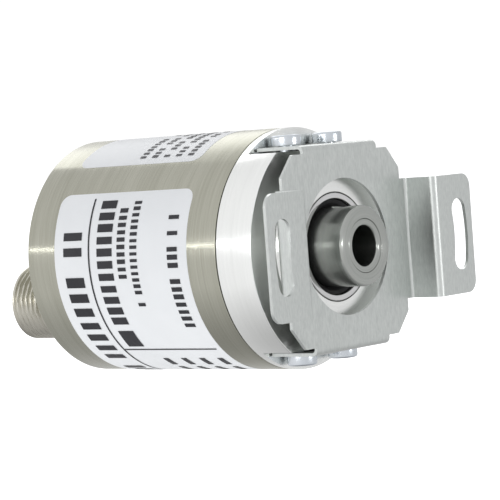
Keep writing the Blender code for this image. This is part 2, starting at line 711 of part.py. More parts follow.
def reducing_sleeve():
    front = SHAFT_Y + SLEEVE_SINK
    back = SHAFT_Y + BORE_DEPTH
    profile = [
        (SLEEVE_R, back), (SLEEVE_R, front), (BORE_R + BORE_CHAMFER, front),
        (BORE_R, front + BORE_CHAMFER), (BORE_R, back),
    ]
    turned("reducing_sleeve", profile, "shaft_steel", segments=MEDIUM_ROUND, parent=SHAFT_AXIS)


def set_screws():
    length = SHAFT_R - SET_SCREW_SINK - SLEEVE_R - SEAT
    floor = SET_SCREW_FLOOR - length
    profile = [(0.0, 0.0), (SET_SCREW_R, 0.0), (SET_SCREW_R, -length), (0.0, -length)]
    pin = turned("set_screw", profile, "black_oxide", closed=False, segments=SMALL_ROUND, place=Matrix())
    cut(pin, rod_mesh("set_screw_socket", SET_SCREW_SOCKET_R, (0, 0, OVERCUT), (0, 0, floor), 6))
    mesh = frozen(pin)
    y = SHAFT_Y + SET_SCREW_BACK
    reach = SHAFT_R - SET_SCREW_SINK
    top = add_object("set_screw_top", mesh, "black_oxide", SHAFT_AXIS)
    top.matrix_world = Matrix.Translation((0, y, reach))
    side = add_object("set_screw_side", mesh, "black_oxide", SHAFT_AXIS)
    side.matrix_world = Matrix.Translation((reach, y, 0)) @ Matrix.Rotation(math.radians(90), 4, "Y")


def magnet_holder():
    outer = JOURNAL_R + HOLDER_WALL
    profile = [
        (0.0, WEB_Y + HOLDER_WEB),
        (MAGNET_R + SEAT, WEB_Y + HOLDER_WEB),
        (MAGNET_R + SEAT, HOLDER_END_Y),
        (outer, HOLDER_END_Y),
        (outer, HOLDER_Y),
        (JOURNAL_R + SEAT, HOLDER_Y),
        (JOURNAL_R + SEAT, WEB_Y),
        (0.0, WEB_Y),
    ]
    turned("magnet_holder", profile, "brass", closed=False, segments=MEDIUM_ROUND, parent=SHAFT_AXIS)
    back = MAGNET_Y + MAGNET_L
    profile = [(0.0, back), (MAGNET_R, back), (MAGNET_R, MAGNET_Y), (0.0, MAGNET_Y)]
    turned("sensor_magnet", profile, "magnet", closed=False, segments=MEDIUM_ROUND, parent=SHAFT_AXIS)


# ---------------------------------------------------------------- seal and bearings

def shaft_seal():
    inner_wall = SEAL_R - SEAL_CASE_T
    back = BOSS_Y + SEAL_L
    case = ring_profile(inner_wall, SEAL_R, BOSS_Y, back)
    turned("shaft_seal_case", case, "bearing_steel")
    outer = inner_wall - SEAT / 2
    inner = SHAFT_R + SEAL_LIP_GAP
    front = BOSS_Y + SEAL_LIP_SINK
    edge_front = front + SEAL_LIP_SLOPE
    edge_w, edge_h = SEAL_LIP_EDGE
    profile = [
        (outer, back), (outer, front), (inner + edge_w, edge_front),
        (inner, edge_front + edge_h), (inner, back),
    ]
    turned("shaft_seal_lip", profile, "rubber")


def bearing(name, front, cage_axis):
    """Inner ring, outer ring and a cage with its balls."""
    back = front + BEARING_W
    middle = (BALL_PITCH_R, front + BEARING_W / 2)
    groove = BALL_R + GROOVE_PLAY
    inner_edge = BALL_PITCH_R - RING_EDGE
    outer_edge = BALL_PITCH_R + RING_EDGE
    half_angle = math.acos(RING_EDGE / groove)
    inner_groove = arc(middle, groove, math.pi - half_angle, math.pi + half_angle, 3)
    outer_groove = arc(middle, groove, -half_angle, half_angle, 3)
    inner_r = SHAFT_R + SEAT
    profile = [(inner_edge, back), *inner_groove, (inner_edge, front), (inner_r, front), (inner_r, back)]
    turned(name + "_inner_ring", profile, "bearing_steel", segments=MEDIUM_ROUND, parent=SHAFT_AXIS)
    profile = [(BEARING_R, back), (BEARING_R, front), (outer_edge, front), *outer_groove, (outer_edge, back)]
    turned(name + "_outer_ring", profile, "bearing_steel", segments=MEDIUM_ROUND)

    cage_profile = ring_profile(BALL_PITCH_R - CAGE_HALF_T, BALL_PITCH_R + CAGE_HALF_T,
                                middle[1] - CAGE_HALF_W, middle[1] + CAGE_HALF_W)
    cage = turned(name + "_cage", cage_profile, "brass", segments=CAGE_ROUND, parent=cage_axis)
    balls = bmesh.new()
    for angle in around(BALLS):
        spot = Vector((BALL_PITCH_R * math.cos(angle), middle[1], BALL_PITCH_R * math.sin(angle)))
        bmesh.ops.create_icosphere(balls, subdivisions=2, radius=BALL_R, matrix=Matrix.Translation(spot))
    combine(cage, mesh_from(name + "_balls", balls), "UNION")


def spacers():
    back = SPACER_Y + SPACER_L
    outer = ring_profile(BEARING_R - OUTER_SPACER_T, BEARING_R, SPACER_Y, back)
    turned("outer_spacer", outer, "flange", segments=MEDIUM_ROUND)
    bore_r = SHAFT_R + SEAT
    inner = ring_profile(bore_r, bore_r + INNER_SPACER_T, SPACER_Y, back)
    turned("inner_spacer", inner, "shaft_steel", segments=MEDIUM_ROUND, parent=SHAFT_AXIS)


def snap_ring(name, inner, outer, gap_degrees, front, thickness, lug, parent):
    """An open retaining ring with a round lug at each end, set off by lug from the ring's middle."""
    half_gap = math.radians(gap_degrees / 2)
    start = math.radians(90) + half_gap
    end = math.radians(450) - half_gap
    outline = arc((0, 0), outer, start, end, 26)
    outline += arc((0, 0), inner, end, start, 26)
    mesh = plate_facing_y(name, outline, [], front, front + thickness)
    ring = add_object(name, mesh, "shaft_steel", parent)
    middle_r = (inner + outer) / 2 + lug
    lug_r = LUG_SHARE * (outer - inner)
    for angle in (start, end):
        spot = (middle_r * math.cos(angle), middle_r * math.sin(angle))
        knob = plate_facing_y(name + "_lug", circle(spot, lug_r, DRILL_ROUND), [], front, front + thickness)
        combine(ring, knob, "UNION")


def wave_spring():
    """A flat ring with waves round it."""
    inner = BALL_PITCH_R + RING_EDGE
    outer = BEARING_R - SEAT
    lift = SPRING_PRESS * (SPRING_L - SPRING_T) / 2
    middle = SPRING_Y + SPRING_L / 2
    rows = []
    for radius in (outer, inner):
        row = []
        for angle in around(ROUND, 0.0):
            y = middle + lift * math.cos(SPRING_WAVES * angle)
            row.append((radius * math.cos(angle), y, radius * math.sin(angle)))
        rows.append(row + [row[0]])
    mesh = sheet_mesh("wave_spring", rows)
    weld(mesh)
    spring = add_object("wave_spring", mesh, "shaft_steel", ROOT)
    thicken(spring, SPRING_T, 0.0)


# ---------------------------------------------------------------- electronics

def standoffs():
    """Three stacks: a standoff to the sensor board, one to the interface board, and a screw."""
    front_l = SENSOR_BOARD_Y - SPIGOT_END_Y - 2 * REST
    front_mesh = standoff_mesh("front_standoff", front_l)
    rear_mesh = standoff_mesh("rear_standoff", REAR_STANDOFF_L)
    screw = screw_mesh("board_screw", BOARD_SCREW_HEAD_R, BOARD_SCREW_HEAD_H, BOARD_SCREW_EDGE,
                       STANDOFF_STUD_R, BOARD_SCREW_L, BOARD_SCREW_SOCKET_R, BOARD_SCREW_FLOOR)
    for number, (x, z) in enumerate(standoff_places(), start=1):
        pieces = (
            (f"front_standoff_{number}", front_mesh, "brass", SPIGOT_END_Y + REST),
            (f"rear_standoff_{number}", rear_mesh, "brass", REAR_STANDOFF_Y),
            (f"board_screw_{number}", screw, "zinc", INTERFACE_BACK_Y + REST),
        )
        for name, mesh, material, y in pieces:
            piece = add_object(name, mesh, material, ROOT)
            piece.matrix_world = Matrix.Translation((x, y, z)) @ ALONG_Y


def standoff_mesh(name, length):
    """A hexagon standoff with a stud below local z = 0 and a thread in its top."""
    body = bpy.data.objects.new(name, rod_mesh(name, STANDOFF_R, (0, 0, 0), (0, 0, length), 6))
    bpy.context.scene.collection.objects.link(body)
    root = (0, 0, STANDOFF_STUD_R)
    tip = (0, 0, -STANDOFF_STUD_L)
    combine(body, rod_mesh(name + "_stud", STANDOFF_STUD_R, root, tip), "UNION")
    mouth = (0, 0, length + OVERCUT)
    bottom = (0, 0, length - STANDOFF_THREAD_L)
    cut(body, rod_mesh(name + "_thread", STANDOFF_STUD_R + SEAT, mouth, bottom))
    return frozen(body)


def boards():
    holes = [circle(place, STANDOFF_STUD_R + REST, DRILL_ROUND) for place in standoff_places()]
    outline = circle((0, 0), BOARD_R, MEDIUM_ROUND)
    for name, front in (("sensor_board", SENSOR_BOARD_Y), ("interface_board", INTERFACE_BOARD_Y)):
        board = plate_facing_y(name, outline, holes, front, front + BOARD_T)
        add_object(name, board, "circuit_board", ROOT)


def block(name, material, place, size, front, back):
    """A box on a board: place and size in (x, z)."""
    low = (place[0] - size[0] / 2, front, place[1] - size[1] / 2)
    high = (place[0] + size[0] / 2, back, place[1] + size[1] / 2)
    add_object(name, box_mesh(name, low, high), material, ROOT)


def components():
    """The parts that sit on the two boards."""
    middle = (0.0, 0.0)
    size = (SENSOR_CHIP_W, SENSOR_CHIP_W)
    block("sensor_chip", "black_plastic", middle, size, CHIP_Y, CHIP_Y + CHIP_T)
    coil_y = SENSOR_BOARD_Y - SEAT - COIL_R
    left = (-COIL_HALF_L, coil_y, COIL_Z)
    right = (COIL_HALF_L, coil_y, COIL_Z)
    coil = rod_mesh("pulse_wire_coil", COIL_R, left, right, SMALL_ROUND)
    add_object("pulse_wire_coil", coil, "lead", ROOT)
    front = INTERFACE_BOARD_Y - SEAT
    size = (PROCESSOR_CHIP_W, PROCESSOR_CHIP_W)
    block("processor_chip", "black_plastic", middle, size, front - CHIP_T, front)
    header_start = SENSOR_BOARD_Y + BOARD_T + SEAT
    block("board_header", "black_plastic", (0.0, HEADER_Z), HEADER_SIZE, header_start, front)
    back = INTERFACE_BACK_Y + SEAT
    block("transceiver_chip", "black_plastic", TRANSCEIVER_PLACE, TRANSCEIVER_SIZE,
          back, back + TRANSCEIVER_T)
    x, z = CAPACITOR_PLACE
    can = rod_mesh("capacitor", CAPACITOR_R, (x, back, z), (x, back + CAPACITOR_L, z), SMALL_ROUND)
    add_object("capacitor", can, "nickel", ROOT)


# ---------------------------------------------------------------- connector

def connector():
    place = Matrix.Translation((CONNECTOR_X, 0, CONNECTOR_Z)) @ ALONG_Y
    collar_back = WALL_Y - REST
    collar_front = collar_back - CONNECTOR_COLLAR_L
    groove_floor = collar_back - 2 * CONNECTOR_ORING_R
    shell_profile = [
        (CONNECTOR_BORE_R, CONNECTOR_END_Y),
        (CONNECTOR_R - CONNECTOR_CHAMFER, CONNECTOR_END_Y),
        (CONNECTOR_R, CONNECTOR_END_Y - CONNECTOR_CHAMFER),
        (CONNECTOR_R, collar_back),
        (CONNECTOR_GROOVE_IN, collar_back),
        (CONNECTOR_GROOVE_IN, groove_floor),
        (CONNECTOR_GROOVE_OUT, groove_floor),
        (CONNECTOR_GROOVE_OUT, collar_back),
        (CONNECTOR_COLLAR_R, collar_back),
        (CONNECTOR_COLLAR_R, collar_front),
        (CONNECTOR_BORE_R, collar_front),
    ]
    turned("connector_shell", shell_profile, "nickel", segments=MEDIUM_ROUND, place=place)
    ring_y = collar_back - CONNECTOR_ORING_R + SEAT
    ring_r = (CONNECTOR_GROOVE_IN + CONNECTOR_GROOVE_OUT) / 2
    centre = (CONNECTOR_X, ring_y, CONNECTOR_Z)
    o_ring("connector_oring", ring_r, CONNECTOR_ORING_R, centre, MEDIUM_ROUND)

    insert_r = CONNECTOR_BORE_R - SEAT
    rim = CONNECTOR_END_Y + INSERT_STANDOUT
    insert_profile = [
        (0.0, INSERT_Y),
        (insert_r - INSERT_WALL, INSERT_Y),
        (insert_r - INSERT_WALL, rim),
        (insert_r, rim),
        (insert_r, collar_front),
        (0.0, collar_front),
    ]
    insert = turned("connector_insert", insert_profile, "black_plastic",
                    closed=False, segments=MEDIUM_ROUND, place=place)
    spots = [(PIN_PITCH_R * math.cos(a), PIN_PITCH_R * math.sin(a)) for a in around(PIN_RING, 45.0)]
    spots.append((0.0, 0.0))
    tip = INSERT_Y + PIN_STANDOUT
    root = tip - PIN_L
    for number, (x, z) in enumerate(spots, start=1):
        x += CONNECTOR_X
        z += CONNECTOR_Z
        name = f"contact_pin_{number}"
        add_object(name, rod_mesh(name, PIN_R, (x, root, z), (x, tip, z)), "gold", ROOT)
        hole = rod_mesh(name + "_hole", PIN_R + SEAT, (x, root - REST, z), (x, INSERT_Y + OVERCUT, z))
        cut(insert, hole)


def connector_lead():
    """A flat lead from the interface board to the back of the connector."""
    start_y = INTERFACE_BACK_Y + REST
    end_y = WALL_Y - REST - CONNECTOR_COLLAR_L - REST
    steps = 14
    rows = []
    for i in range(steps + 1):
        t = i / steps
        ease = t * t * (3 - 2 * t)
        y = start_y + (end_y - start_y) * t
        z = LEAD_START_Z + (CONNECTOR_Z - LEAD_START_Z) * ease
        rows.append([(CONNECTOR_X - LEAD_HALF_W, y, z), (CONNECTOR_X + LEAD_HALF_W, y, z)])
    lead = add_object("connector_lead", sheet_mesh("connector_lead", rows), "lead", ROOT)
    thicken(lead, LEAD_T, 0.0)


# ---------------------------------------------------------------- labels

def label(name, start, low, high):
    """A thin sheet wrapped on the housing. Angles run from -X upwards."""
    inner_r = BODY_R + SEAT
    steps = round((high - low) / LABEL_STEP)
    rows = []
    for y in (JOINT_Y + start, REAR_Y - LABEL_REAR_GAP):
        angles = [low + (high - low) * i / steps for i in range(steps + 1)]
        rows.append([(-inner_r * math.cos(a), y, inner_r * math.sin(a)) for a in angles])
    piece = add_object(name, sheet_mesh(name, rows), "label", ROOT)
    thicken(piece, LABEL_T, 1.0)


# ---------------------------------------------------------------- assembly

def build():
    housing_cap()
    flange()
    ring_y = JOINT_Y + ORING_GROOVE_FRONT + ORING_R + SEAT
    o_ring("flange_oring", SPIGOT_R - ORING_R - SEAT / 2, ORING_R, (0.0, ring_y, 0.0), ROUND)
    torque_bracket()
    bracket_screws()
    hollow_shaft()
    reducing_sleeve()
    set_screws()
    magnet_holder()
    shaft_seal()
    axes = {}
    for name in ("front_bearing", "rear_bearing"):
        axes[name] = bpy.data.objects.new(name + "_axis", None)
        PARTS.objects.link(axes[name])
        axes[name].parent = ROOT
    bearing("front_bearing", FRONT_BEARING_Y, axes["front_bearing"])
    bearing("rear_bearing", REAR_BEARING_Y, axes["rear_bearing"])
    spacers()
    snap_ring("bearing_retaining_ring", SEAT_R - RETAINER_IN, SEAT_R + SNAP_GROOVE, RETAINER_GAP,
              RETAINER_Y, RETAINER_T, -RETAINER_LUG_IN, ROOT)
    snap_ring("shaft_circlip", SHAFT_R - SNAP_GROOVE + SEAT, SHAFT_R + CIRCLIP_STEP, CIRCLIP_GAP,
              CIRCLIP_Y, CIRCLIP_T, CIRCLIP_LUG_OUT, SHAFT_AXIS)
    wave_spring()
    standoffs()
    boards()
    components()
    connector()
    connector_lead()
    label("type_label", *TYPE_LABEL)
    label("wiring_label", *WIRING_LABEL)


build()
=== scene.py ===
"""Rotary encoder with a torque support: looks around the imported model."""

import json
import math
import random

import bmesh
import bpy
from mathutils import Matrix, Vector

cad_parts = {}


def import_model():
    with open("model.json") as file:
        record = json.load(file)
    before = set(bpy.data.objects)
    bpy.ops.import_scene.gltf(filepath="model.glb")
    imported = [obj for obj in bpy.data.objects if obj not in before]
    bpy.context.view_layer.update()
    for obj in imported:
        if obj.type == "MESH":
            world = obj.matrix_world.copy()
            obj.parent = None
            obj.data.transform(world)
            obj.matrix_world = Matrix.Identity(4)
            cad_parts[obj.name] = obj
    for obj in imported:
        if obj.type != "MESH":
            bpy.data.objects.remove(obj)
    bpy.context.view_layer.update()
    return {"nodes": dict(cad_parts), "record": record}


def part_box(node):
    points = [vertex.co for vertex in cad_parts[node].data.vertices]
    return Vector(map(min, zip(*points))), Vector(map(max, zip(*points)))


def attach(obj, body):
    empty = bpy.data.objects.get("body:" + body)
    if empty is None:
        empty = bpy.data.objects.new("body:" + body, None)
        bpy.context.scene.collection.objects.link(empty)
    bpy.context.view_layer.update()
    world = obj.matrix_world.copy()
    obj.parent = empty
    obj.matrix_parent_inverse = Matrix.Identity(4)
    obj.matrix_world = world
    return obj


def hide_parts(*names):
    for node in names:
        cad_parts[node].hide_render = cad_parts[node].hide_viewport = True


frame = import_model()

MM = 0.001
TINY = 1e-7                             # places closer than this are the same
RELIEF = 0.01 * MM                      # depth of the materials' fine texture

# ---------------------------------------------------------------- sizes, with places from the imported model

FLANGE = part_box("flange")
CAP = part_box("housing_cap")
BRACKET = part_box("torque_bracket")
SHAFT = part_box("hollow_shaft")
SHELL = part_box("connector_shell")
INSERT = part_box("connector_insert")

BODY_R = CAP[1].x                       # outside of the housing and the flange
CAP_FRONT_Y = CAP[0].y
CAP_REAR_Y = CAP[1].y
CAP_WALL = 1.1 * MM
CAP_INNER_R = BODY_R - CAP_WALL
REAR_WALL = 2.4 * MM
WALL_Y = CAP_REAR_Y - REAR_WALL         # inside of the rear wall
BOSS_R = 12.5 * MM
BOSS_H = 1.7 * MM
BOSS_Y = FLANGE[0].y
FLANGE_L = 6.55 * MM
FLANGE_Y = BOSS_Y + BOSS_H              # the flange's front face
JOINT_Y = FLANGE_Y + FLANGE_L           # where the housing begins
FLAT_L = 5.2 * MM
FLAT_Z = 14.7 * MM
SHEET = 0.5 * MM
PLATE_Y = 5.4 * MM                      # front face of the support's main plate
TAB_Z = BRACKET[1].z - SHEET            # inner face of the folded tabs
SHAFT_R = 6.0 * MM
SHAFT_Y = SHAFT[0].y
SLEEVE_R = 4.0 * MM
SLEEVE_L = 18.0 * MM
SLEEVE_GAP = 0.04 * MM
BORE_R = 3.0 * MM
SCREW_X = 5.0 * MM
SCREW_BACK = 2.5 * MM
SCREW_Y = FLANGE_Y + SCREW_BACK
SCREW_HOLE_R = 1.4 * MM
SET_SCREW_BACK = 3.8 * MM
SET_SCREW_Y = SHAFT_Y + SET_SCREW_BACK
CONNECTOR_X = (SHELL[0].x + SHELL[1].x) / 2
CONNECTOR_Z = (SHELL[0].z + SHELL[1].z) / 2
CONNECTOR_R = 5.95 * MM

FIT_GAP = 0.1 * MM                      # between faces that touch
OVERCUT = 1 * MM                        # how far a cutter reaches past what it cuts

# How far edges are rounded.
FINE_EDGE = 0.1 * MM
BROKEN_EDGE = 0.15 * MM
SOFT_EDGE = 0.2 * MM
ROUND_EDGE = 0.35 * MM


# ---------------------------------------------------------------- mesh helpers

def new_object(name, mesh):
    obj = bpy.data.objects.new(name, mesh)
    bpy.context.scene.collection.objects.link(obj)
    return obj


def arc(centre, radius, start, end, steps):
    """Points on an arc, both ends included, angles in degrees."""
    angles = [math.radians(start + (end - start) * i / steps) for i in range(steps + 1)]
    return [(centre[0] + radius * math.cos(a), centre[1] + radius * math.sin(a)) for a in angles]


def circle(centre, radius, steps):
    return arc(centre, radius, 0.0, 360.0 * (steps - 1) / steps, steps - 1)


def rounded(points, closed=True, steps=4):
    """Round the corners of an outline. Each point is (x, y) or (x, y, radius)."""
    out = []
    count = len(points)
    for i, point in enumerate(points):
        here = Vector(point[:2])
        radius = point[2] if len(point) > 2 else 0.0
        if not radius or (not closed and i in (0, count - 1)):
            out.append(tuple(here))
            continue
        before = (Vector(points[i - 1][:2]) - here).normalized()
        after = (Vector(points[(i + 1) % count][:2]) - here).normalized()
        half = before.angle(after) / 2
        reach = radius / math.tan(half)
        first = here + before * reach
        last = here + after * reach
        centre = here + (before + after).normalized() * (radius / math.sin(half))
        first_angle = math.atan2(first.y - centre.y, first.x - centre.x)
        last_angle = math.atan2(last.y - centre.y, last.x - centre.x)
        if last_angle - first_angle > math.pi:
            last_angle -= 2 * math.pi
        if first_angle - last_angle > math.pi:
            last_angle += 2 * math.pi
        for k in range(steps + 1):
            a = first_angle + (last_angle - first_angle) * k / steps
            out.append((centre.x + radius * math.cos(a), centre.y + radius * math.sin(a)))
    return out


def revolve(name, profile, closed=True, segments=192, centre=(0.0, 0.0), radius_at=None):
    """Turn a profile of (radius, y) points, which runs down its outer side, about an axis along Y."""
    verts = []
    rows = []
    for r, y in profile:
        if r < TINY:
            rows.append([len(verts)] * segments)
            verts.append((centre[0], y, centre[1]))
            continue
        row = []
        for k in range(segments):
            a = 2 * math.pi * k / segments
            distance = radius_at(r, y, a) if radius_at else r
            row.append(len(verts))
            verts.append((centre[0] + distance * math.cos(a), y, centre[1] + distance * math.sin(a)))
        rows.append(row)
    faces = []
    pairs = list(zip(rows, rows[1:]))
    if closed:
        pairs.append((rows[-1], rows[0]))
    for upper, lower in pairs:
        for k in range(segments):
            n = (k + 1) % segments
            loop = [upper[k], upper[n], lower[n], lower[k]]
            face = [v for i, v in enumerate(loop) if v not in loop[:i]]
            if len(face) > 2:
                faces.append(face)
    mesh = bpy.data.meshes.new(name)
    mesh.from_pydata(verts, [], faces)
    mesh.update()
    return new_object(name, mesh)


def prism_mesh(name, outline, low, high, axis="Y"):
    """Extrude an outline drawn in (x, z) along Y, or in (x, y) along Z."""
    bm = bmesh.new()
    if axis == "Y":
        loop = [bm.verts.new((x, low, z)) for x, z in outline]
        shift = Vector((0, high - low, 0))
    else:
        loop = [bm.verts.new((x, y, low)) for x, y in outline]
        shift = Vector((0, 0, high - low))
    face = bm.faces.new(loop)
    made = bmesh.ops.extrude_face_region(bm, geom=[face])
    moved = [v for v in made["geom"] if isinstance(v, bmesh.types.BMVert)]
    bmesh.ops.translate(bm, verts=moved, vec=shift)
    bmesh.ops.recalc_face_normals(bm, faces=bm.faces)
    mesh = bpy.data.meshes.new(name)
    bm.to_mesh(mesh)
    bm.free()
    return mesh


def rod_mesh(name, radius, start, end, segments=64, radius2=None):
    start = Vector(start)
    along = Vector(end) - start
    bm = bmesh.new()
    end_radius = radius if radius2 is None else radius2
    bmesh.ops.create_cone(bm, cap_ends=True, segments=segments, radius1=radius, radius2=end_radius,
                          depth=along.length)
    turn = along.to_track_quat("Z", "Y").to_matrix().to_4x4()
    bm.transform(Matrix.Translation(start + along / 2) @ turn)
    mesh = bpy.data.meshes.new(name)
    bm.to_mesh(mesh)
    bm.free()
    return mesh


def box_mesh(name, low, high):
    bm = bmesh.new()
    bmesh.ops.create_cube(bm, size=1.0)
    size = [h - l for l, h in zip(low, high)]
    middle = [(h + l) / 2 for l, h in zip(low, high)]
    bm.transform(Matrix.Translation(middle) @ Matrix.Diagonal((*size, 1.0)))
    mesh = bpy.data.meshes.new(name)
    bm.to_mesh(mesh)
    bm.free()
    return mesh


def sheet_mesh(name, rows):
    bm = bmesh.new()
    grid = [[bm.verts.new(p) for p in row] for row in rows]
    for upper, lower in zip(grid, grid[1:]):
        for i in range(len(upper) - 1):
            bm.faces.new((upper[i], upper[i + 1], lower[i + 1], lower[i]))
    mesh = bpy.data.meshes.new(name)
    bm.to_mesh(mesh)
    bm.free()
    return mesh


def combine(obj, mesh, operation="DIFFERENCE"):
    """Boolean with a throwaway cutter, applied at once."""
    cutter = new_object("cutter", mesh)
    modifier = obj.modifiers.new("boolean", "BOOLEAN")
    modifier.operation = operation
    modifier.solver = "EXACT"
    modifier.object = cutter
    apply_modifiers(obj)
    bpy.data.objects.remove(cutter, do_unlink=True)


def apply_modifiers(obj):
    bpy.context.view_layer.update()
    evaluated = obj.evaluated_get(bpy.context.evaluated_depsgraph_get())
    mesh = bpy.data.meshes.new_from_object(evaluated)
    obj.modifiers.clear()
    obj.data = mesh


def soften(obj, width, segments=2, angle=30):
    """Bevel the sharp edges a little, then shade smooth with the flats kept flat."""
    bm = bmesh.new()
    bm.from_mesh(obj.data)
    bmesh.ops.remove_doubles(bm, verts=bm.verts, dist=TINY)
    bmesh.ops.dissolve_limit(bm, angle_limit=math.radians(0.05), verts=bm.verts, edges=bm.edges)
    bm.to_mesh(obj.data)
    bm.free()
    bevel = obj.modifiers.new("bevel", "BEVEL")
    bevel.width = width
    bevel.segments = segments
    bevel.limit_method = "ANGLE"
    bevel.angle_limit = math.radians(angle)
    bevel.harden_normals = True
    obj.data.shade_smooth()
    apply_modifiers(obj)


def shade(obj, angle=30):
    obj.data.shade_smooth()
    obj.data.set_sharp_from_angle(angle=math.radians(angle))


def join(name, objects):
    """One object from several."""
    bm = bmesh.new()
    for obj in objects:
        bm.from_mesh(obj.data)
        bpy.data.objects.remove(obj, do_unlink=True)
    mesh = bpy.data.meshes.new(name)
    bm.to_mesh(mesh)
    bm.free()
    return new_object(name, mesh)


def finish_piece(obj, material, body, slot, *nodes):
    """Give a piece its material, the body it rides on and the CAD nodes that it stands in for."""
    obj.data.materials.clear()
    obj.data.materials.append(material)
    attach(obj, body)
    if nodes:
        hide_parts(*nodes)


# ---------------------------------------------------------------- materials

class Nodes:
    """Short calls for building a node tree round one Principled shader."""

    def __init__(self, name):
        self.material = bpy.data.materials.new(name)
        self.material.use_nodes = True
        self.tree = self.material.node_tree
        self.shader = self.tree.nodes["Principled BSDF"]

    def add(self, kind, **values):
        node = self.tree.nodes.new(kind)
        for key, value in values.items():
            setattr(node, key, value)
        return node

    def link(self, source, target):
        self.tree.links.new(source, target)

    def math(self, operation, a, b=None):
        node = self.add("ShaderNodeMath", operation=operation)
        for socket, value in zip(node.inputs, (a, b)):
            if value is None:
                continue
            if isinstance(value, (int, float)):
                socket.default_value = value
            else:
                self.link(value, socket)
        return node.outputs[0]

    def position(self):
        return self.add("ShaderNodeTexCoord").outputs["Object"]

    def turned_coordinates(self, centre=(0.0, 0.0), swirl=0.0):
        """(radius, y, a slow change round the axis): constant along a lathe tool's path."""
        parts = self.add("ShaderNodeSeparateXYZ")
        self.link(self.position(), parts.inputs[0])
        x = self.math("SUBTRACT", parts.outputs["X"], centre[0])
        z = self.math("SUBTRACT", parts.outputs["Z"], centre[1])
        radius = self.math("SQRT", self.math("ADD", self.math("MULTIPLY", x, x), self.math("MULTIPLY", z, z)))
        joined = self.add("ShaderNodeCombineXYZ")
        self.link(radius, joined.inputs["X"])
        self.link(parts.outputs["Y"], joined.inputs["Y"])
        if swirl:
            self.link(self.math("MULTIPLY", self.math("ADD", x, z), swirl), joined.inputs["Z"])
        return joined.outputs[0]

    def stretched(self, scale):
        mapping = self.add("ShaderNodeMapping")
        mapping.inputs["Scale"].default_value = scale
        self.link(self.position(), mapping.inputs["Vector"])
        return mapping.outputs[0]

    def noise(self, vector, scale, detail=4.0, roughness=0.6):
        node = self.add("ShaderNodeTexNoise")
        node.inputs["Scale"].default_value = scale
        node.inputs["Detail"].default_value = detail
        node.inputs["Roughness"].default_value = roughness
        self.link(vector, node.inputs["Vector"])
        return node.outputs["Fac"]

    def spread(self, source, low, high, from_low=0.3, from_high=0.7):
        node = self.add("ShaderNodeMapRange")
        node.inputs["From Min"].default_value = from_low
        node.inputs["From Max"].default_value = from_high
        node.inputs["To Min"].default_value = low
        node.inputs["To Max"].default_value = high
        self.link(source, node.inputs["Value"])
        return node.outputs["Result"]

    def blend_colors(self, factor, first, second):
        node = self.add("ShaderNodeMix", data_type="RGBA")
        node.inputs[6].default_value = (*first, 1.0)
        node.inputs[7].default_value = (*second, 1.0)
        self.link(factor, node.inputs[0])
        return node.outputs[2]

    def bump(self, height, strength, distance):
        node = self.add("ShaderNodeBump")
        node.inputs["Strength"].default_value = strength
        node.inputs["Distance"].default_value = distance
        self.link(height, node.inputs["Height"])
        self.link(node.outputs[0], self.shader.inputs["Normal"])

    def set(self, **values):
        for key, value in values.items():
            self.shader.inputs[key.replace("_", " ")].default_value = value


def turned_metal(name, dark, light, rough_low, rough_high, groove=2600.0, bump=0.25, centre=(0.0, 0.0),
                 anisotropy=0.0):
    """Metal with the fine rings that a lathe tool leaves."""
    n = Nodes(name)
    n.set(Metallic=1.0)
    rings = n.noise(n.turned_coordinates(centre, swirl=0.02), groove, detail=3.0, roughness=0.7)
    broad = n.noise(n.turned_coordinates(centre, swirl=0.05), groove / 9, detail=2.0)
    mottle = n.noise(n.position(), 120.0, detail=3.0)
    mix = n.math("ADD", n.math("MULTIPLY", rings, 0.6), n.math("MULTIPLY", broad, 0.4))
    n.link(n.blend_colors(n.spread(mix, 0.0, 1.0), dark, light), n.shader.inputs["Base Color"])
    wear = n.math("ADD", n.math("MULTIPLY", mottle, 0.5), n.math("MULTIPLY", rings, 0.5))
    n.link(n.spread(wear, rough_low, rough_high), n.shader.inputs["Roughness"])
    n.bump(rings, bump, RELIEF)
    if anisotropy:
        n.set(Anisotropic=anisotropy, Anisotropic_Rotation=0.25)
        tangent = n.add("ShaderNodeTangent", direction_type="RADIAL", axis="Y")
        n.link(tangent.outputs[0], n.shader.inputs["Tangent"])
    return n.material


def grained_metal(name, dark, light, rough_low, rough_high, stretch, bump=0.2):
    """Rolled or brushed sheet, with its grain along the axis that is stretched least."""
    n = Nodes(name)
    n.set(Metallic=1.0)
    grain = n.noise(n.stretched(stretch), 1.0, detail=5.0, roughness=0.65)
    mottle = n.noise(n.position(), 90.0, detail=3.0)
    n.link(n.blend_colors(n.spread(grain, 0.0, 1.0), dark, light), n.shader.inputs["Base Color"])
    mix = n.math("ADD", n.math("MULTIPLY", grain, 0.6), n.math("MULTIPLY", mottle, 0.4))
    n.link(n.spread(mix, rough_low, rough_high), n.shader.inputs["Roughness"])
    n.bump(grain, bump, RELIEF)
    return n.material


def plain_metal(name, dark, light, rough_low, rough_high, scale=900.0, bump=0.1):
    """Plated or ground metal with faint mottling."""
    n = Nodes(name)
    n.set(Metallic=1.0)
    fine = n.noise(n.position(), scale, detail=4.0)
    broad = n.noise(n.position(), scale / 8, detail=2.0)
    n.link(n.blend_colors(n.spread(broad, 0.0, 1.0), dark, light), n.shader.inputs["Base Color"])
    n.link(n.spread(fine, rough_low, rough_high), n.shader.inputs["Roughness"])
    n.bump(fine, bump, RELIEF)
    return n.material


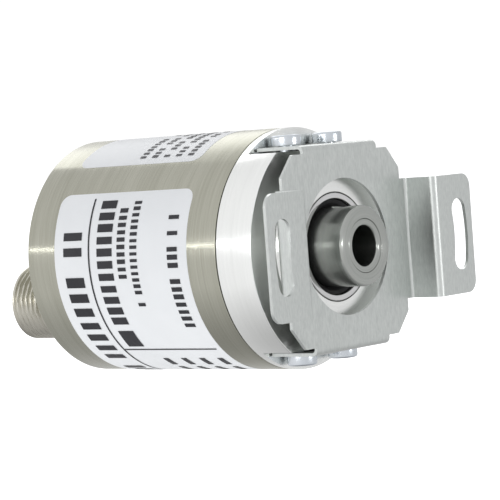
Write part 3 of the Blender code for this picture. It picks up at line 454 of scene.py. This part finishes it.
def moulded(name, dark, light, rough_low, rough_high, scale=2500.0, bump=0.3, specular=0.4):
    """Plastic, rubber or film with a fine surface texture."""
    n = Nodes(name)
    n.set(Specular_IOR_Level=specular)
    fine = n.noise(n.position(), scale, detail=3.0)
    broad = n.noise(n.position(), scale / 12, detail=2.0)
    n.link(n.blend_colors(n.spread(broad, 0.0, 1.0), dark, light), n.shader.inputs["Base Color"])
    n.link(n.spread(fine, rough_low, rough_high), n.shader.inputs["Roughness"])
    n.bump(fine, bump, RELIEF)
    return n.material


MATERIALS = {
    "housing": turned_metal("housing", (0.382, 0.380, 0.314), (0.502, 0.499, 0.428), 0.19, 0.25,
                            groove=3200.0, bump=0.12, anisotropy=0.93),
    "flange": turned_metal("flange", (0.89, 0.90, 0.88), (0.97, 0.98, 0.96), 0.19, 0.26, groove=2600.0,
                           bump=0.08, anisotropy=0.92),
    "spring_sheet": grained_metal("spring_sheet", (0.54, 0.565, 0.55), (0.67, 0.695, 0.675), 0.30, 0.40,
                                  (3400.0, 3400.0, 900.0)),
    "shaft_steel": turned_metal("shaft_steel", (0.365, 0.38, 0.36), (0.475, 0.49, 0.465), 0.17, 0.25,
                                groove=4200.0, bump=0.08, anisotropy=0.85),
    "bearing_steel": plain_metal("bearing_steel", (0.66, 0.66, 0.66), (0.72, 0.72, 0.72), 0.10, 0.20),
    "zinc": plain_metal("zinc", (0.60, 0.64, 0.68), (0.70, 0.73, 0.76), 0.16, 0.30, scale=1400.0),
    "black_oxide": plain_metal("black_oxide", (0.03, 0.03, 0.035), (0.06, 0.06, 0.07), 0.30, 0.45),
    "rubber": moulded("rubber", (0.008, 0.008, 0.009), (0.016, 0.016, 0.017), 0.50, 0.70),
    "black_plastic": moulded("black_plastic", (0.012, 0.012, 0.013), (0.022, 0.022, 0.023), 0.35, 0.50),
    "magnet": plain_metal("magnet", (0.40, 0.40, 0.41), (0.48, 0.48, 0.49), 0.20, 0.30),
    "circuit_board": moulded("circuit_board", (0.012, 0.11, 0.045), (0.02, 0.15, 0.06), 0.30, 0.42,
                             scale=1800.0),
    "nickel": turned_metal("nickel", (0.52, 0.50, 0.43), (0.62, 0.60, 0.53), 0.20, 0.32, groove=5200.0,
                           bump=0.10, centre=(CONNECTOR_X, CONNECTOR_Z)),
    "gold": plain_metal("gold", (0.72, 0.50, 0.18), (0.82, 0.60, 0.26), 0.16, 0.26),
    "brass": plain_metal("brass", (0.62, 0.45, 0.20), (0.70, 0.53, 0.26), 0.22, 0.34),
    "label": moulded("label", (0.60, 0.615, 0.63), (0.63, 0.645, 0.66), 0.34, 0.44, scale=1500.0, bump=0.08,
                     specular=0.5),
    "lead": moulded("lead", (0.42, 0.22, 0.05), (0.50, 0.28, 0.07), 0.30, 0.40),
}
INK = moulded("label_ink", (0.012, 0.012, 0.016), (0.02, 0.02, 0.025), 0.38, 0.50, scale=1500.0, bump=0.05)


# ---------------------------------------------------------------- housing

def housing():
    chamfer = 0.7 * MM
    chamfer_round = 0.25 * MM
    mouth_round = 0.12 * MM
    lip_round = 0.08 * MM
    profile = rounded([
        (0.0, CAP_REAR_Y),
        (BODY_R - chamfer, CAP_REAR_Y, chamfer_round),
        (BODY_R, CAP_REAR_Y - chamfer, chamfer_round),
        (BODY_R, CAP_FRONT_Y, mouth_round),
        (CAP_INNER_R, CAP_FRONT_Y, lip_round),
        (CAP_INNER_R, WALL_Y, ROUND_EDGE),
        (0.0, WALL_Y),
    ], closed=False)
    cap = revolve("housing_shell", profile, closed=False, segments=256)
    start = (CONNECTOR_X, WALL_Y - OVERCUT, CONNECTOR_Z)
    end = (CONNECTOR_X, CAP_REAR_Y + OVERCUT, CONNECTOR_Z)
    combine(cap, rod_mesh("hole", CONNECTOR_R + FIT_GAP, start, end, segments=96))
    shade(cap, 25)
    finish_piece(cap, MATERIALS["housing"], "stator", "housing", "housing_cap")


# ---------------------------------------------------------------- flange

def flange():
    rear = FLANGE[1].y
    tube_r = 12.2 * MM
    spigot_r = CAP_INNER_R - FIT_GAP
    spigot_end = JOINT_Y + 4.65 * MM
    groove_r = spigot_r - 1.4 * MM
    groove_start = JOINT_Y + 1.05 * MM
    groove_end = groove_start + 1.5 * MM
    seal_r = 8.2 * MM
    seal_floor = BOSS_Y + 1.8 * MM
    shoulder_r = 7.7 * MM
    shoulder_end = seal_floor + 1.0 * MM
    bearing_r = 10.5 * MM
    joint_round = 0.12 * MM
    rim_round = 0.18 * MM
    boss_foot = 0.3 * MM
    profile = rounded([
        (tube_r, rear),
        (tube_r, spigot_end),
        (spigot_r, spigot_end),
        (spigot_r, groove_end),
        (groove_r, groove_end),
        (groove_r, groove_start),
        (spigot_r, groove_start),
        (spigot_r, JOINT_Y),
        (BODY_R, JOINT_Y, joint_round),
        (BODY_R, FLANGE_Y, rim_round),
        (BOSS_R, FLANGE_Y, boss_foot),
        (BOSS_R, BOSS_Y, ROUND_EDGE),
        (seal_r, BOSS_Y, joint_round),
        (seal_r, seal_floor),
        (shoulder_r, seal_floor),
        (shoulder_r, shoulder_end),
        (bearing_r, shoulder_end),
        (bearing_r, rear),
    ])
    body = revolve("flange_body", profile, segments=256)
    reach = BODY_R + OVERCUT
    hole_depth = 3.4 * MM
    for side in (1, -1):
        low, high = sorted((side * FLAT_Z, side * reach))
        flat = box_mesh("flat", (-reach, FLANGE_Y - OVERCUT, low), (reach, FLANGE_Y + FLAT_L, high))
        combine(body, flat)
        for x in (-SCREW_X, SCREW_X):
            mouth = (x, SCREW_Y, side * (FLAT_Z + OVERCUT))
            bottom = (x, SCREW_Y, side * (FLAT_Z - hole_depth))
            combine(body, rod_mesh("thread", SCREW_HOLE_R, mouth, bottom, segments=32))
    shade(body, 30)
    finish_piece(body, MATERIALS["flange"], "stator", "flange", "flange")


# ---------------------------------------------------------------- torque support

def bracket_outline():
    """The main plate, with both corners cut off slantwise on each side."""
    side_x = 14.4 * MM
    side_z = 11.0 * MM
    top_x = 11.5 * MM
    top_z = 14.2 * MM
    corner_r = 0.4 * MM
    right_top = [(side_x, side_z, corner_r), (top_x, top_z, corner_r)]
    left_top = [(-x, z, r) for x, z, r in reversed(right_top)]
    top = right_top + left_top
    return rounded(top + [(-x, -z, r) for x, z, r in top])


def torque_support():
    half = SHEET / 2
    bend = SHEET + half
    leg = 15.7 * MM + half
    reach = BRACKET[1].x
    arm_half = 9.2 * MM
    arm_corner = 2.0 * MM
    tab_half = 9.0 * MM
    hole_r = 10.2 * MM
    edge = 0.03 * MM
    plate_rear = PLATE_Y + SHEET

    right = [(0.0, PLATE_Y + half)]
    right += arc((leg - bend, PLATE_Y + half - bend), bend, 90, 0, 10)
    right += arc((leg + bend, half + bend), bend, 180, 270, 10)
    right.append((reach + OVERCUT, half))
    path = [(-x, y) for x, y in reversed(right[1:])] + right[1:]
    over = arm_half + OVERCUT
    rows = [[(x, y, z) for x, y in path] for z in (over, -over)]
    sheet = new_object("torque_support", sheet_mesh("sheet", rows))
    thicken(sheet)
    slab = rounded([(reach, arm_half, arm_corner), (-reach, arm_half, arm_corner),
                    (-reach, -arm_half, arm_corner), (reach, -arm_half, arm_corner)], steps=12)
    combine(sheet, prism_mesh("slab", slab, -OVERCUT, plate_rear + OVERCUT), "INTERSECT")
    combine(sheet, prism_mesh("plate", bracket_outline(), PLATE_Y, plate_rear), "UNION")

    corner = (PLATE_Y + half + bend, TAB_Z + half - bend)
    upper = arc(corner, bend, 180, 90, 10) + [(BRACKET[1].y, TAB_Z + half)]
    fold = [(y, -z) for y, z in reversed(upper)] + upper
    rows = [[(x, y, z) for y, z in fold] for x in (-tab_half, tab_half)]
    tabs = new_object("tabs", sheet_mesh("tabs", rows))
    thicken(tabs)
    mesh = tabs.data.copy()
    bpy.data.objects.remove(tabs, do_unlink=True)
    combine(sheet, mesh, "UNION")

    hole = circle((0, 0), hole_r, 192)
    combine(sheet, prism_mesh("hole", hole, PLATE_Y - OVERCUT, plate_rear + OVERCUT))
    for side in (1, -1):
        combine(sheet, prism_mesh("slot", slot_outline(side), -OVERCUT, SHEET + OVERCUT))
    for x in (-SCREW_X, SCREW_X):
        top = (x, SCREW_Y, BODY_R + OVERCUT)
        bottom = (x, SCREW_Y, -BODY_R - OVERCUT)
        combine(sheet, rod_mesh("holes", SCREW_HOLE_R, top, bottom, segments=48))
    soften(sheet, edge, segments=2, angle=40)
    finish_piece(sheet, MATERIALS["spring_sheet"], "stator", "spring_sheet", "torque_bracket")


def thicken(obj):
    solid = obj.modifiers.new("thickness", "SOLIDIFY")
    solid.thickness = SHEET
    solid.offset = 0.0
    solid.use_even_offset = True
    apply_modifiers(obj)


def slot_outline(side):
    """A slot with round ends, along an arc about the shaft's axis."""
    pitch = 22.1 * MM
    half = 1.75 * MM
    spread = 9.8
    middle = 0.0 if side > 0 else 180.0
    low = middle - spread
    high = middle + spread
    low_end, high_end = [(pitch * math.cos(math.radians(a)), pitch * math.sin(math.radians(a)))
                         for a in (low, high)]
    points = arc((0, 0), pitch + half, low, high, 16)
    points += arc(high_end, half, high, high + 180, 20)[1:-1]
    points += arc((0, 0), pitch - half, high, low, 16)
    points += arc(low_end, half, low + 180, low + 360, 20)[1:-1]
    return points


def bracket_screws():
    head_r = 2.25 * MM
    head_h = 1.6 * MM
    shank_r = 1.2 * MM
    shank_l = 3.6 * MM
    socket_r = 1.1 * MM
    socket_floor = head_h * 0.35
    seat = TAB_Z + SHEET + FIT_GAP
    for name, side in (("top", 1), ("bottom", -1)):
        for label, x in (("left", -SCREW_X), ("right", SCREW_X)):
            profile = rounded([
                (0.0, head_h), (head_r, head_h, ROUND_EDGE), (head_r, 0.0, FINE_EDGE),
                (shank_r, 0.0), (shank_r, -shank_l), (0.0, -shank_l),
            ], closed=False, steps=6)
            screw = revolve(f"bracket_screw_piece_{name}_{label}", profile, closed=False, segments=96)
            combine(screw, hexagon(socket_r, socket_floor, head_h + OVERCUT))
            shade(screw, 35)
            screw.data.transform(Matrix.Rotation(math.radians(90 * side), 4, "X"))
            screw.data.transform(Matrix.Translation((x, SCREW_Y, side * seat)))
            finish_piece(screw, MATERIALS["zinc"], "stator", "zinc", f"bracket_screw_{name}_{label}")


def hexagon(radius, low, high):
    """A six-sided socket cutter along Y."""
    return rod_mesh("hexagon", radius, (0, low, 0), (0, high, 0), 6)


# ---------------------------------------------------------------- shaft

def shaft():
    rear = SHAFT[1].y
    bore = SLEEVE_R + SLEEVE_GAP
    bore_end = SHAFT_Y + SLEEVE_L + 0.2 * MM
    tail_r = 3.5 * MM
    collar_r = 7.0 * MM
    collar_rear = rear - 1.6 * MM
    collar_front = collar_rear - 1.2 * MM
    front_round = 0.45 * MM
    thread_r = 1.45 * MM
    sink_r = 2.0 * MM
    sink_floor_r = 1.4 * MM
    sink_depth = 0.45 * MM
    sink_lead = 0.3 * MM
    profile = rounded([
        (0.0, rear),
        (tail_r, rear, SOFT_EDGE),
        (tail_r, collar_rear),
        (collar_r, collar_rear, SOFT_EDGE),
        (collar_r, collar_front, SOFT_EDGE),
        (SHAFT_R, collar_front),
        (SHAFT_R, SHAFT_Y, front_round),
        (bore, SHAFT_Y, FINE_EDGE),
        (bore, bore_end),
        (0.0, bore_end),
    ], closed=False, steps=6)
    body = revolve("shaft_body", profile, closed=False, segments=192)
    spot = Vector((0, SET_SCREW_Y, 0))
    for direction in (Vector((0, 0, 1)), Vector((1, 0, 0))):
        outside = direction * (SHAFT_R + OVERCUT) + spot
        inside = direction * (BORE_R - OVERCUT) + spot
        combine(body, rod_mesh("thread", thread_r, outside, inside, segments=64))
        rim = direction * (SHAFT_R + sink_lead) + spot
        floor = direction * (SHAFT_R - sink_depth) + spot
        combine(body, rod_mesh("countersink", sink_r, rim, floor, segments=64, radius2=sink_floor_r))
    shade(body, 28)
    finish_piece(body, MATERIALS["shaft_steel"], "rotor", "shaft_steel", "hollow_shaft")

    sleeve_front = SHAFT_Y + SLEEVE_GAP
    sleeve_rear = SHAFT_Y + SLEEVE_L
    sleeve_profile = rounded([
        (SLEEVE_R, sleeve_rear),
        (SLEEVE_R, sleeve_front, FINE_EDGE),
        (BORE_R, sleeve_front, ROUND_EDGE),
        (BORE_R, sleeve_rear),
    ], steps=6)
    sleeve = revolve("sleeve_body", sleeve_profile, segments=160)
    shade(sleeve, 28)
    finish_piece(sleeve, MATERIALS["shaft_steel"], "rotor", "shaft_steel", "reducing_sleeve")


def set_screws():
    radius = 1.4 * MM
    outer = 5.5 * MM
    inner = 4.15 * MM
    socket_r = 0.85 * MM
    socket_floor = 4.7 * MM
    for name, turn in (("top", Matrix.Rotation(math.radians(90), 4, "X")),
                       ("side", Matrix.Rotation(math.radians(-90), 4, "Z"))):
        profile = rounded([
            (0.0, outer), (radius, outer, SOFT_EDGE), (radius, inner, BROKEN_EDGE), (0.0, inner),
        ], closed=False)
        screw = revolve("set_screw_piece_" + name, profile, closed=False, segments=64)
        combine(screw, hexagon(socket_r, socket_floor, SHAFT_R + OVERCUT))
        shade(screw, 35)
        screw.data.transform(turn)
        screw.data.transform(Matrix.Translation((0, SET_SCREW_Y, 0)))
        finish_piece(screw, MATERIALS["black_oxide"], "rotor", "black_oxide", "set_screw_" + name)


def seal():
    case_outer_r = 8.08 * MM
    case_inner_r = 7.2 * MM
    rear = BOSS_Y + 1.7 * MM
    case = revolve("seal_case_ring", rounded([
        (case_outer_r, rear),
        (case_outer_r, BOSS_Y, BROKEN_EDGE),
        (case_inner_r, BOSS_Y, SOFT_EDGE),
        (case_inner_r, rear),
    ], steps=5), segments=192)
    shade(case)
    finish_piece(case, MATERIALS["bearing_steel"], "stator", "bearing_steel", "shaft_seal_case")

    lip_outer_r = 7.15 * MM
    lip_inner_r = 6.06 * MM
    middle_r = 6.55 * MM
    front_y = BOSS_Y + 0.5 * MM
    middle_y = BOSS_Y + 0.75 * MM
    lip_y = BOSS_Y + 1.25 * MM
    lip_round = 0.05 * MM
    lip = revolve("seal_lip_ring", rounded([
        (lip_outer_r, rear),
        (lip_outer_r, front_y, FINE_EDGE),
        (middle_r, middle_y, SOFT_EDGE),
        (lip_inner_r, lip_y, lip_round),
        (lip_inner_r, rear),
    ], steps=5), segments=192)
    shade(lip)
    finish_piece(lip, MATERIALS["rubber"], "stator", "rubber", "shaft_seal_lip")


# ---------------------------------------------------------------- connector

def connector_shell():
    end = SHELL[1].y
    start = SHELL[0].y
    inner_r = 4.7 * MM
    collar_r = 7.6 * MM
    collar_rear = WALL_Y - 0.2 * MM
    chamfer = 0.75 * MM
    chamfer_l = 0.68 * MM
    chamfer_step = 0.08 * MM
    pitch = 1.0 * MM
    depth = 0.5 * MM
    crest = 0.12                        # the flat top of a turn, as a share of the pitch
    steepness = 1.15
    thread_start = CAP_REAR_Y + 0.6 * MM
    thread_end = end - 0.7 * MM
    run_out = 0.6 * pitch

    def thread(r, y, a):
        if abs(r - CONNECTOR_R) > TINY or not thread_start <= y <= thread_end:
            return r
        phase = (y / pitch - a / (2 * math.pi)) % 1.0
        fade = min(1.0, (y - thread_start) / pitch, (thread_end - y) / run_out)
        groove = max(0.0, abs(phase - 0.5) * 2 - crest) / (1 - crest)
        return r - depth * fade * min(1.0, groove * steepness)

    rows_per_turn = 14
    length = thread_end - thread_start
    rows = int(length / pitch * rows_per_turn)
    profile = [(inner_r, end), (CONNECTOR_R - chamfer, end), (CONNECTOR_R - chamfer_step, end - chamfer_l)]
    profile += [(CONNECTOR_R, thread_end - length * i / rows) for i in range(rows + 1)]
    profile += [(CONNECTOR_R, collar_rear), (collar_r, collar_rear), (collar_r, start), (inner_r, start)]
    centre = (CONNECTOR_X, CONNECTOR_Z)
    shell = revolve("connector_body", profile, segments=144, centre=centre, radius_at=thread)
    shade(shell, 40)
    finish_piece(shell, MATERIALS["nickel"], "stator", "nickel", "connector_shell")


def connector_insert():
    start = SHELL[0].y
    end = INSERT[1].y
    face = SHELL[1].y - 8.0 * MM
    core_r = 4.1 * MM
    wall_r = 4.6 * MM
    insert = revolve("connector_core", rounded([
        (0.0, face), (core_r, face, FINE_EDGE), (core_r, end, BROKEN_EDGE),
        (wall_r, end, BROKEN_EDGE), (wall_r, start, FINE_EDGE), (0.0, start),
    ], closed=False), closed=False, segments=96, centre=(CONNECTOR_X, CONNECTOR_Z))
    key_half = 0.6 * MM
    key_low = 3.5 * MM
    key_high = 4.3 * MM
    key_sunk = 0.5 * MM
    key_back = 1.5 * MM
    key = box_mesh("key", (CONNECTOR_X - key_half, face - key_sunk, CONNECTOR_Z + key_low),
                   (CONNECTOR_X + key_half, end - key_back, CONNECTOR_Z + key_high))
    combine(insert, key, "UNION")
    shade(insert)
    finish_piece(insert, MATERIALS["black_plastic"], "stator", "black_plastic", "connector_insert")


def contact_pins():
    for number in range(1, 6):
        low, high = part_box(f"contact_pin_{number}")
        x = (low.x + high.x) / 2
        z = (low.z + high.z) / 2
        radius = (high.x - low.x) / 2
        pin = revolve(f"pin_{number}", rounded([
            (0.0, high.y), (radius, high.y, ROUND_EDGE), (radius, low.y, FINE_EDGE), (0.0, low.y),
        ], closed=False, steps=6), closed=False, segments=32, centre=(x, z))
        shade(pin, 40)
        finish_piece(pin, MATERIALS["gold"], "stator", "gold", f"contact_pin_{number}")


# ---------------------------------------------------------------- labels

FILM_GAP = 0.03 * MM                    # between the housing and a label
FILM_T = 0.05 * MM
INK_GAP = 0.09 * MM                     # between the housing and the print
STRIP_ANGLE = 1.5                       # degrees round the housing that one flat strip spans


def wrapped(name, outline_rows, radius):
    """A patch on the housing from rows of (y, angle) points, angles in degrees from -X upwards."""
    rows = []
    for row in outline_rows:
        angles = [(y, math.radians(a)) for y, a in row]
        rows.append([(-radius * math.cos(a), y, radius * math.sin(a)) for y, a in angles])
    return new_object(name, sheet_mesh(name, rows))


def label_sheet(name, y_low, y_high, a_low, a_high, node):
    """A thin film with rounded corners."""
    corner = 1.8 * MM
    corner_steps = 8
    columns = 12
    radius = BODY_R + FILM_GAP
    corner_deg = math.degrees(corner / radius)
    eased = [corner_deg * (1 - math.cos(math.radians(90 * i / corner_steps))) for i in range(corner_steps)]
    steps = int((a_high - a_low) / STRIP_ANGLE)
    straight = a_high - a_low - 2 * corner_deg
    angles = [a_low + a for a in eased]
    angles += [a_low + corner_deg + straight * i / steps for i in range(steps + 1)]
    angles += [a_high - a for a in reversed(eased)]
    rows = []
    for a in angles:
        gap = min(a - a_low, a_high - a) / corner_deg
        inset = corner * (1 - math.sqrt(max(0.0, 1 - (1 - min(1.0, gap)) ** 2)))
        low = y_low + inset
        high = y_high - inset
        rows.append([(low + (high - low) * i / columns, a) for i in range(columns + 1)])
    film = wrapped(name, rows, radius)
    solid = film.modifiers.new("film", "SOLIDIFY")
    solid.thickness = FILM_T
    solid.offset = 1.0
    apply_modifiers(film)
    low_r = min((v.co.x ** 2 + v.co.z ** 2) ** 0.5 for v in film.data.vertices)
    if low_r < BODY_R:
        film.data.flip_normals()
    shade(film)
    finish_piece(film, MATERIALS["label"], "stator", "label", node)


def print_patch(y_low, y_high, a_low, a_high):
    """A printed rectangle, a hair above the film."""
    steps = max(1, int(abs(a_high - a_low) / STRIP_ANGLE))
    rows = []
    for i in range(steps + 1):
        a = a_low + (a_high - a_low) * i / steps
        rows.append([(y_low, a), (y_high, a)])
    return wrapped("print", rows, BODY_R + INK_GAP)


def text_line(rng, y_low, y_high, a_low, a_high, pitch, fill, skip):
    """Stand-in for a printed line: a run of short blocks, with gaps where words would end."""
    out = []
    a = a_low
    while a < a_high - pitch * fill:
        if rng.random() > skip:
            width = pitch * fill * rng.uniform(0.75, 1.0)
            out.append(print_patch(y_low, y_high, a, a + width))
        a += pitch
    return out


def finish_print(name, marks):
    printed = join(name, marks)
    shade(printed)
    finish_piece(printed, INK, "stator", "label")


def type_label():
    """The large label: one bold line behind a rule, smaller lines in front of it, and small squares."""
    front_y = JOINT_Y + 5.65 * MM
    rear_y = front_y + 26.7 * MM
    low_angle = -100.0
    high_angle = 34.5
    label_sheet("type_film", front_y, rear_y, low_angle, high_angle, "type_label")

    rng = random.Random(7)
    rule_y = front_y + 19.4 * MM
    rule_w = 0.3 * MM
    rule_a = -50.0
    rule_turn = 0.9
    margin = 1.0 * MM
    low_margin = 8.0
    high_margin = 3.0
    marks = [print_patch(rule_y, rule_y + rule_w, low_angle + low_margin, high_angle - high_margin)]
    marks.append(print_patch(front_y + margin, rule_y, rule_a, rule_a + rule_turn))
    # A line's near and far side in mm from the rule, its start and end in degrees, the pitch of its blocks
    # in degrees, the share of a pitch that a block fills, and the share of blocks that are left out.
    bold = (1.6, 5.4, -88, 16, 7.6, 0.66, 0.08)
    large = (-4.6, -1.5, -32, 31, 5.8, 0.74, 0.0)
    small = ((-7.2, -5.6, -8, 26, 3.5, 0.66, 0.0), (-9.6, -8.2, -22, 32, 3.1, 0.62, 0.1),
             (-17.6, -15.6, -34, 25, 3.8, 0.66, 0.14))
    for near, far, start, end, pitch, fill, skip in (bold, large, *small):
        marks += text_line(rng, rule_y + near * MM, rule_y + far * MM, start, end, pitch, fill, skip)
    marks.append(print_patch(rule_y + large[0] * MM, rule_y + large[1] * MM, -47, -36))
    square_w = 1.1 * MM
    square_pitch = 3.6 * MM
    first_square_y = front_y + 1.8 * MM
    for i in range(4):
        y = first_square_y + square_pitch * i
        for start, end in ((-66, -58), (-78, -70)):
            marks.append(print_patch(y, y + square_w, start, end))
    finish_print("type_print", marks)


def wiring_label():
    """The label on top, with five small lines."""
    front_y = JOINT_Y + 7.75 * MM
    rear_y = front_y + 24.6 * MM
    low_angle = 51.5
    high_angle = 128.0
    label_sheet("wiring_film", front_y, rear_y, low_angle, high_angle, "wiring_label")
    rng = random.Random(11)
    line_w = 1.1 * MM
    line_pitch = 2.4 * MM
    first_line_y = front_y + 2.0 * MM
    marks = []
    for i in range(5):
        y = first_line_y + line_pitch * i
        marks += text_line(rng, y, y + line_w, 56, 92, 3.2, fill=0.66, skip=0.15)
    finish_print("wiring_print", marks)


# ---------------------------------------------------------------- carried-over CAD nodes

def dress_cad_nodes():
    """Give every CAD node that stays visible its procedural material."""
    for entry in frame["record"]["subparts"]:
        node = frame["nodes"][entry["node"]]
        if node.hide_render:
            continue
        material = MATERIALS[entry["material_slot"]]
        if not node.material_slots:
            node.data.materials.append(material)
        for slot in node.material_slots:
            slot.material = material


# ---------------------------------------------------------------- stage, light and camera

def stage():
    half = 4.0
    height = -0.055
    floor = new_object("floor", sheet_mesh("floor", [[(-half, half, 0), (-half, -half, 0)],
                                                     [(half, half, 0), (half, -half, 0)]]))
    floor.location = (0, 0, height)
    n = Nodes("floor_paint")
    n.set(Roughness=0.9, Specular_IOR_Level=0.1, Emission_Color=(1.0, 1.0, 1.0, 1.0), Emission_Strength=0.5)
    tint = n.noise(n.position(), 3.0)
    n.link(n.blend_colors(n.spread(tint, 0.0, 1.0), (0.93, 0.93, 0.93), (0.95, 0.95, 0.95)),
           n.shader.inputs["Base Color"])
    floor.data.materials.append(n.material)
    floor.visible_glossy = False


def world():
    """A studio sky: dim below, a little brighter towards -X; plain white behind the object."""
    sky = bpy.data.worlds.new("studio")
    bpy.context.scene.world = sky
    sky.use_nodes = True
    tree = sky.node_tree
    background = tree.nodes["Background"]
    coordinates = tree.nodes.new("ShaderNodeTexCoord")
    split = tree.nodes.new("ShaderNodeSeparateXYZ")
    tree.links.new(coordinates.outputs["Generated"], split.inputs[0])
    ramp = tree.nodes.new("ShaderNodeValToRGB")
    height = tree.nodes.new("ShaderNodeMapRange")
    height.inputs["From Min"].default_value = -1.0
    tree.links.new(split.outputs["Z"], height.inputs["Value"])
    tree.links.new(height.outputs["Result"], ramp.inputs["Fac"])
    stops = ((0.0, 0.30), (0.15, 0.55), (0.30, 0.75), (0.50, 0.76), (0.70, 0.75), (0.88, 0.76), (1.0, 0.78))
    while len(ramp.color_ramp.elements) < len(stops):
        ramp.color_ramp.elements.new(0.5)
    for element, (place, level) in zip(ramp.color_ramp.elements, stops):
        element.position = place
        element.color = (level, level, level * 1.01, 1.0)
    tree.links.new(ramp.outputs["Color"], background.inputs["Color"])
    side = tree.nodes.new("ShaderNodeMapRange")
    side.inputs["From Min"].default_value = -1.0
    side.inputs["To Min"].default_value = 1.27
    side.inputs["To Max"].default_value = 0.97
    tree.links.new(split.outputs["X"], side.inputs["Value"])
    tree.links.new(side.outputs["Result"], background.inputs["Strength"])
    white = tree.nodes.new("ShaderNodeBackground")
    white.inputs["Color"].default_value = (1.0, 1.0, 1.0, 1.0)
    white.inputs["Strength"].default_value = 1.05
    path = tree.nodes.new("ShaderNodeLightPath")
    pick = tree.nodes.new("ShaderNodeMixShader")
    tree.links.new(path.outputs["Is Camera Ray"], pick.inputs[0])
    tree.links.new(background.outputs[0], pick.inputs[1])
    tree.links.new(white.outputs[0], pick.inputs[2])
    tree.links.new(pick.outputs[0], tree.nodes["World Output"].inputs["Surface"])


def area_light(name, direction, distance, width, height, power):
    """A soft box that faces the object from a direction."""
    light = bpy.data.lights.new(name, "AREA")
    light.shape = "RECTANGLE"
    light.size = width
    light.size_y = height
    light.energy = power
    obj = bpy.data.objects.new(name, light)
    bpy.context.scene.collection.objects.link(obj)
    middle = Vector((0, 30 * MM, 0))
    obj.location = middle + Vector(direction).normalized() * distance
    obj.rotation_euler = (middle - obj.location).to_track_quat("-Z", "Y").to_euler()


def lights():
    area_light("rear_top", (0.55, 0.55, 0.62), 1.0, 0.8, 0.5, 1.6)
    area_light("side_strip", (-0.77, 0.63, 0.135), 0.9, 0.7, 0.006, 0.20)
    area_light("side_fill", (-0.97, -0.12, 0.14), 1.1, 0.7, 0.28, 1.6)
    area_light("front_strip", (0.25, -0.97, 0.02), 0.9, 0.35, 0.03, 0.6)


def camera():
    """From the front left, almost level and a little rolled."""
    data = bpy.data.cameras.new("camera")
    data.sensor_width = 36.0
    data.lens = 182.5
    data.clip_start = 0.01
    data.clip_end = 20.0
    view = bpy.data.objects.new("camera", data)
    bpy.context.scene.collection.objects.link(view)
    place = Vector((-0.29995, -0.2218, 0.0181))
    right = Vector((0.62940, -0.77344, -0.07508)).normalized()
    back = Vector((-0.77256, -0.63322, 0.04668))
    back = (back - right * back.dot(right)).normalized()
    up = back.cross(right)
    matrix = Matrix((right, up, back)).transposed().to_4x4()
    matrix.translation = place
    view.matrix_world = matrix
    bpy.context.scene.camera = view


camera()
world()
lights()
stage()
housing()
flange()
torque_support()
bracket_screws()
shaft()
set_screws()
seal()
connector_shell()
connector_insert()
contact_pins()
type_label()
wiring_label()
dress_cad_nodes()
bpy.context.scene.view_settings.view_transform = "Standard"
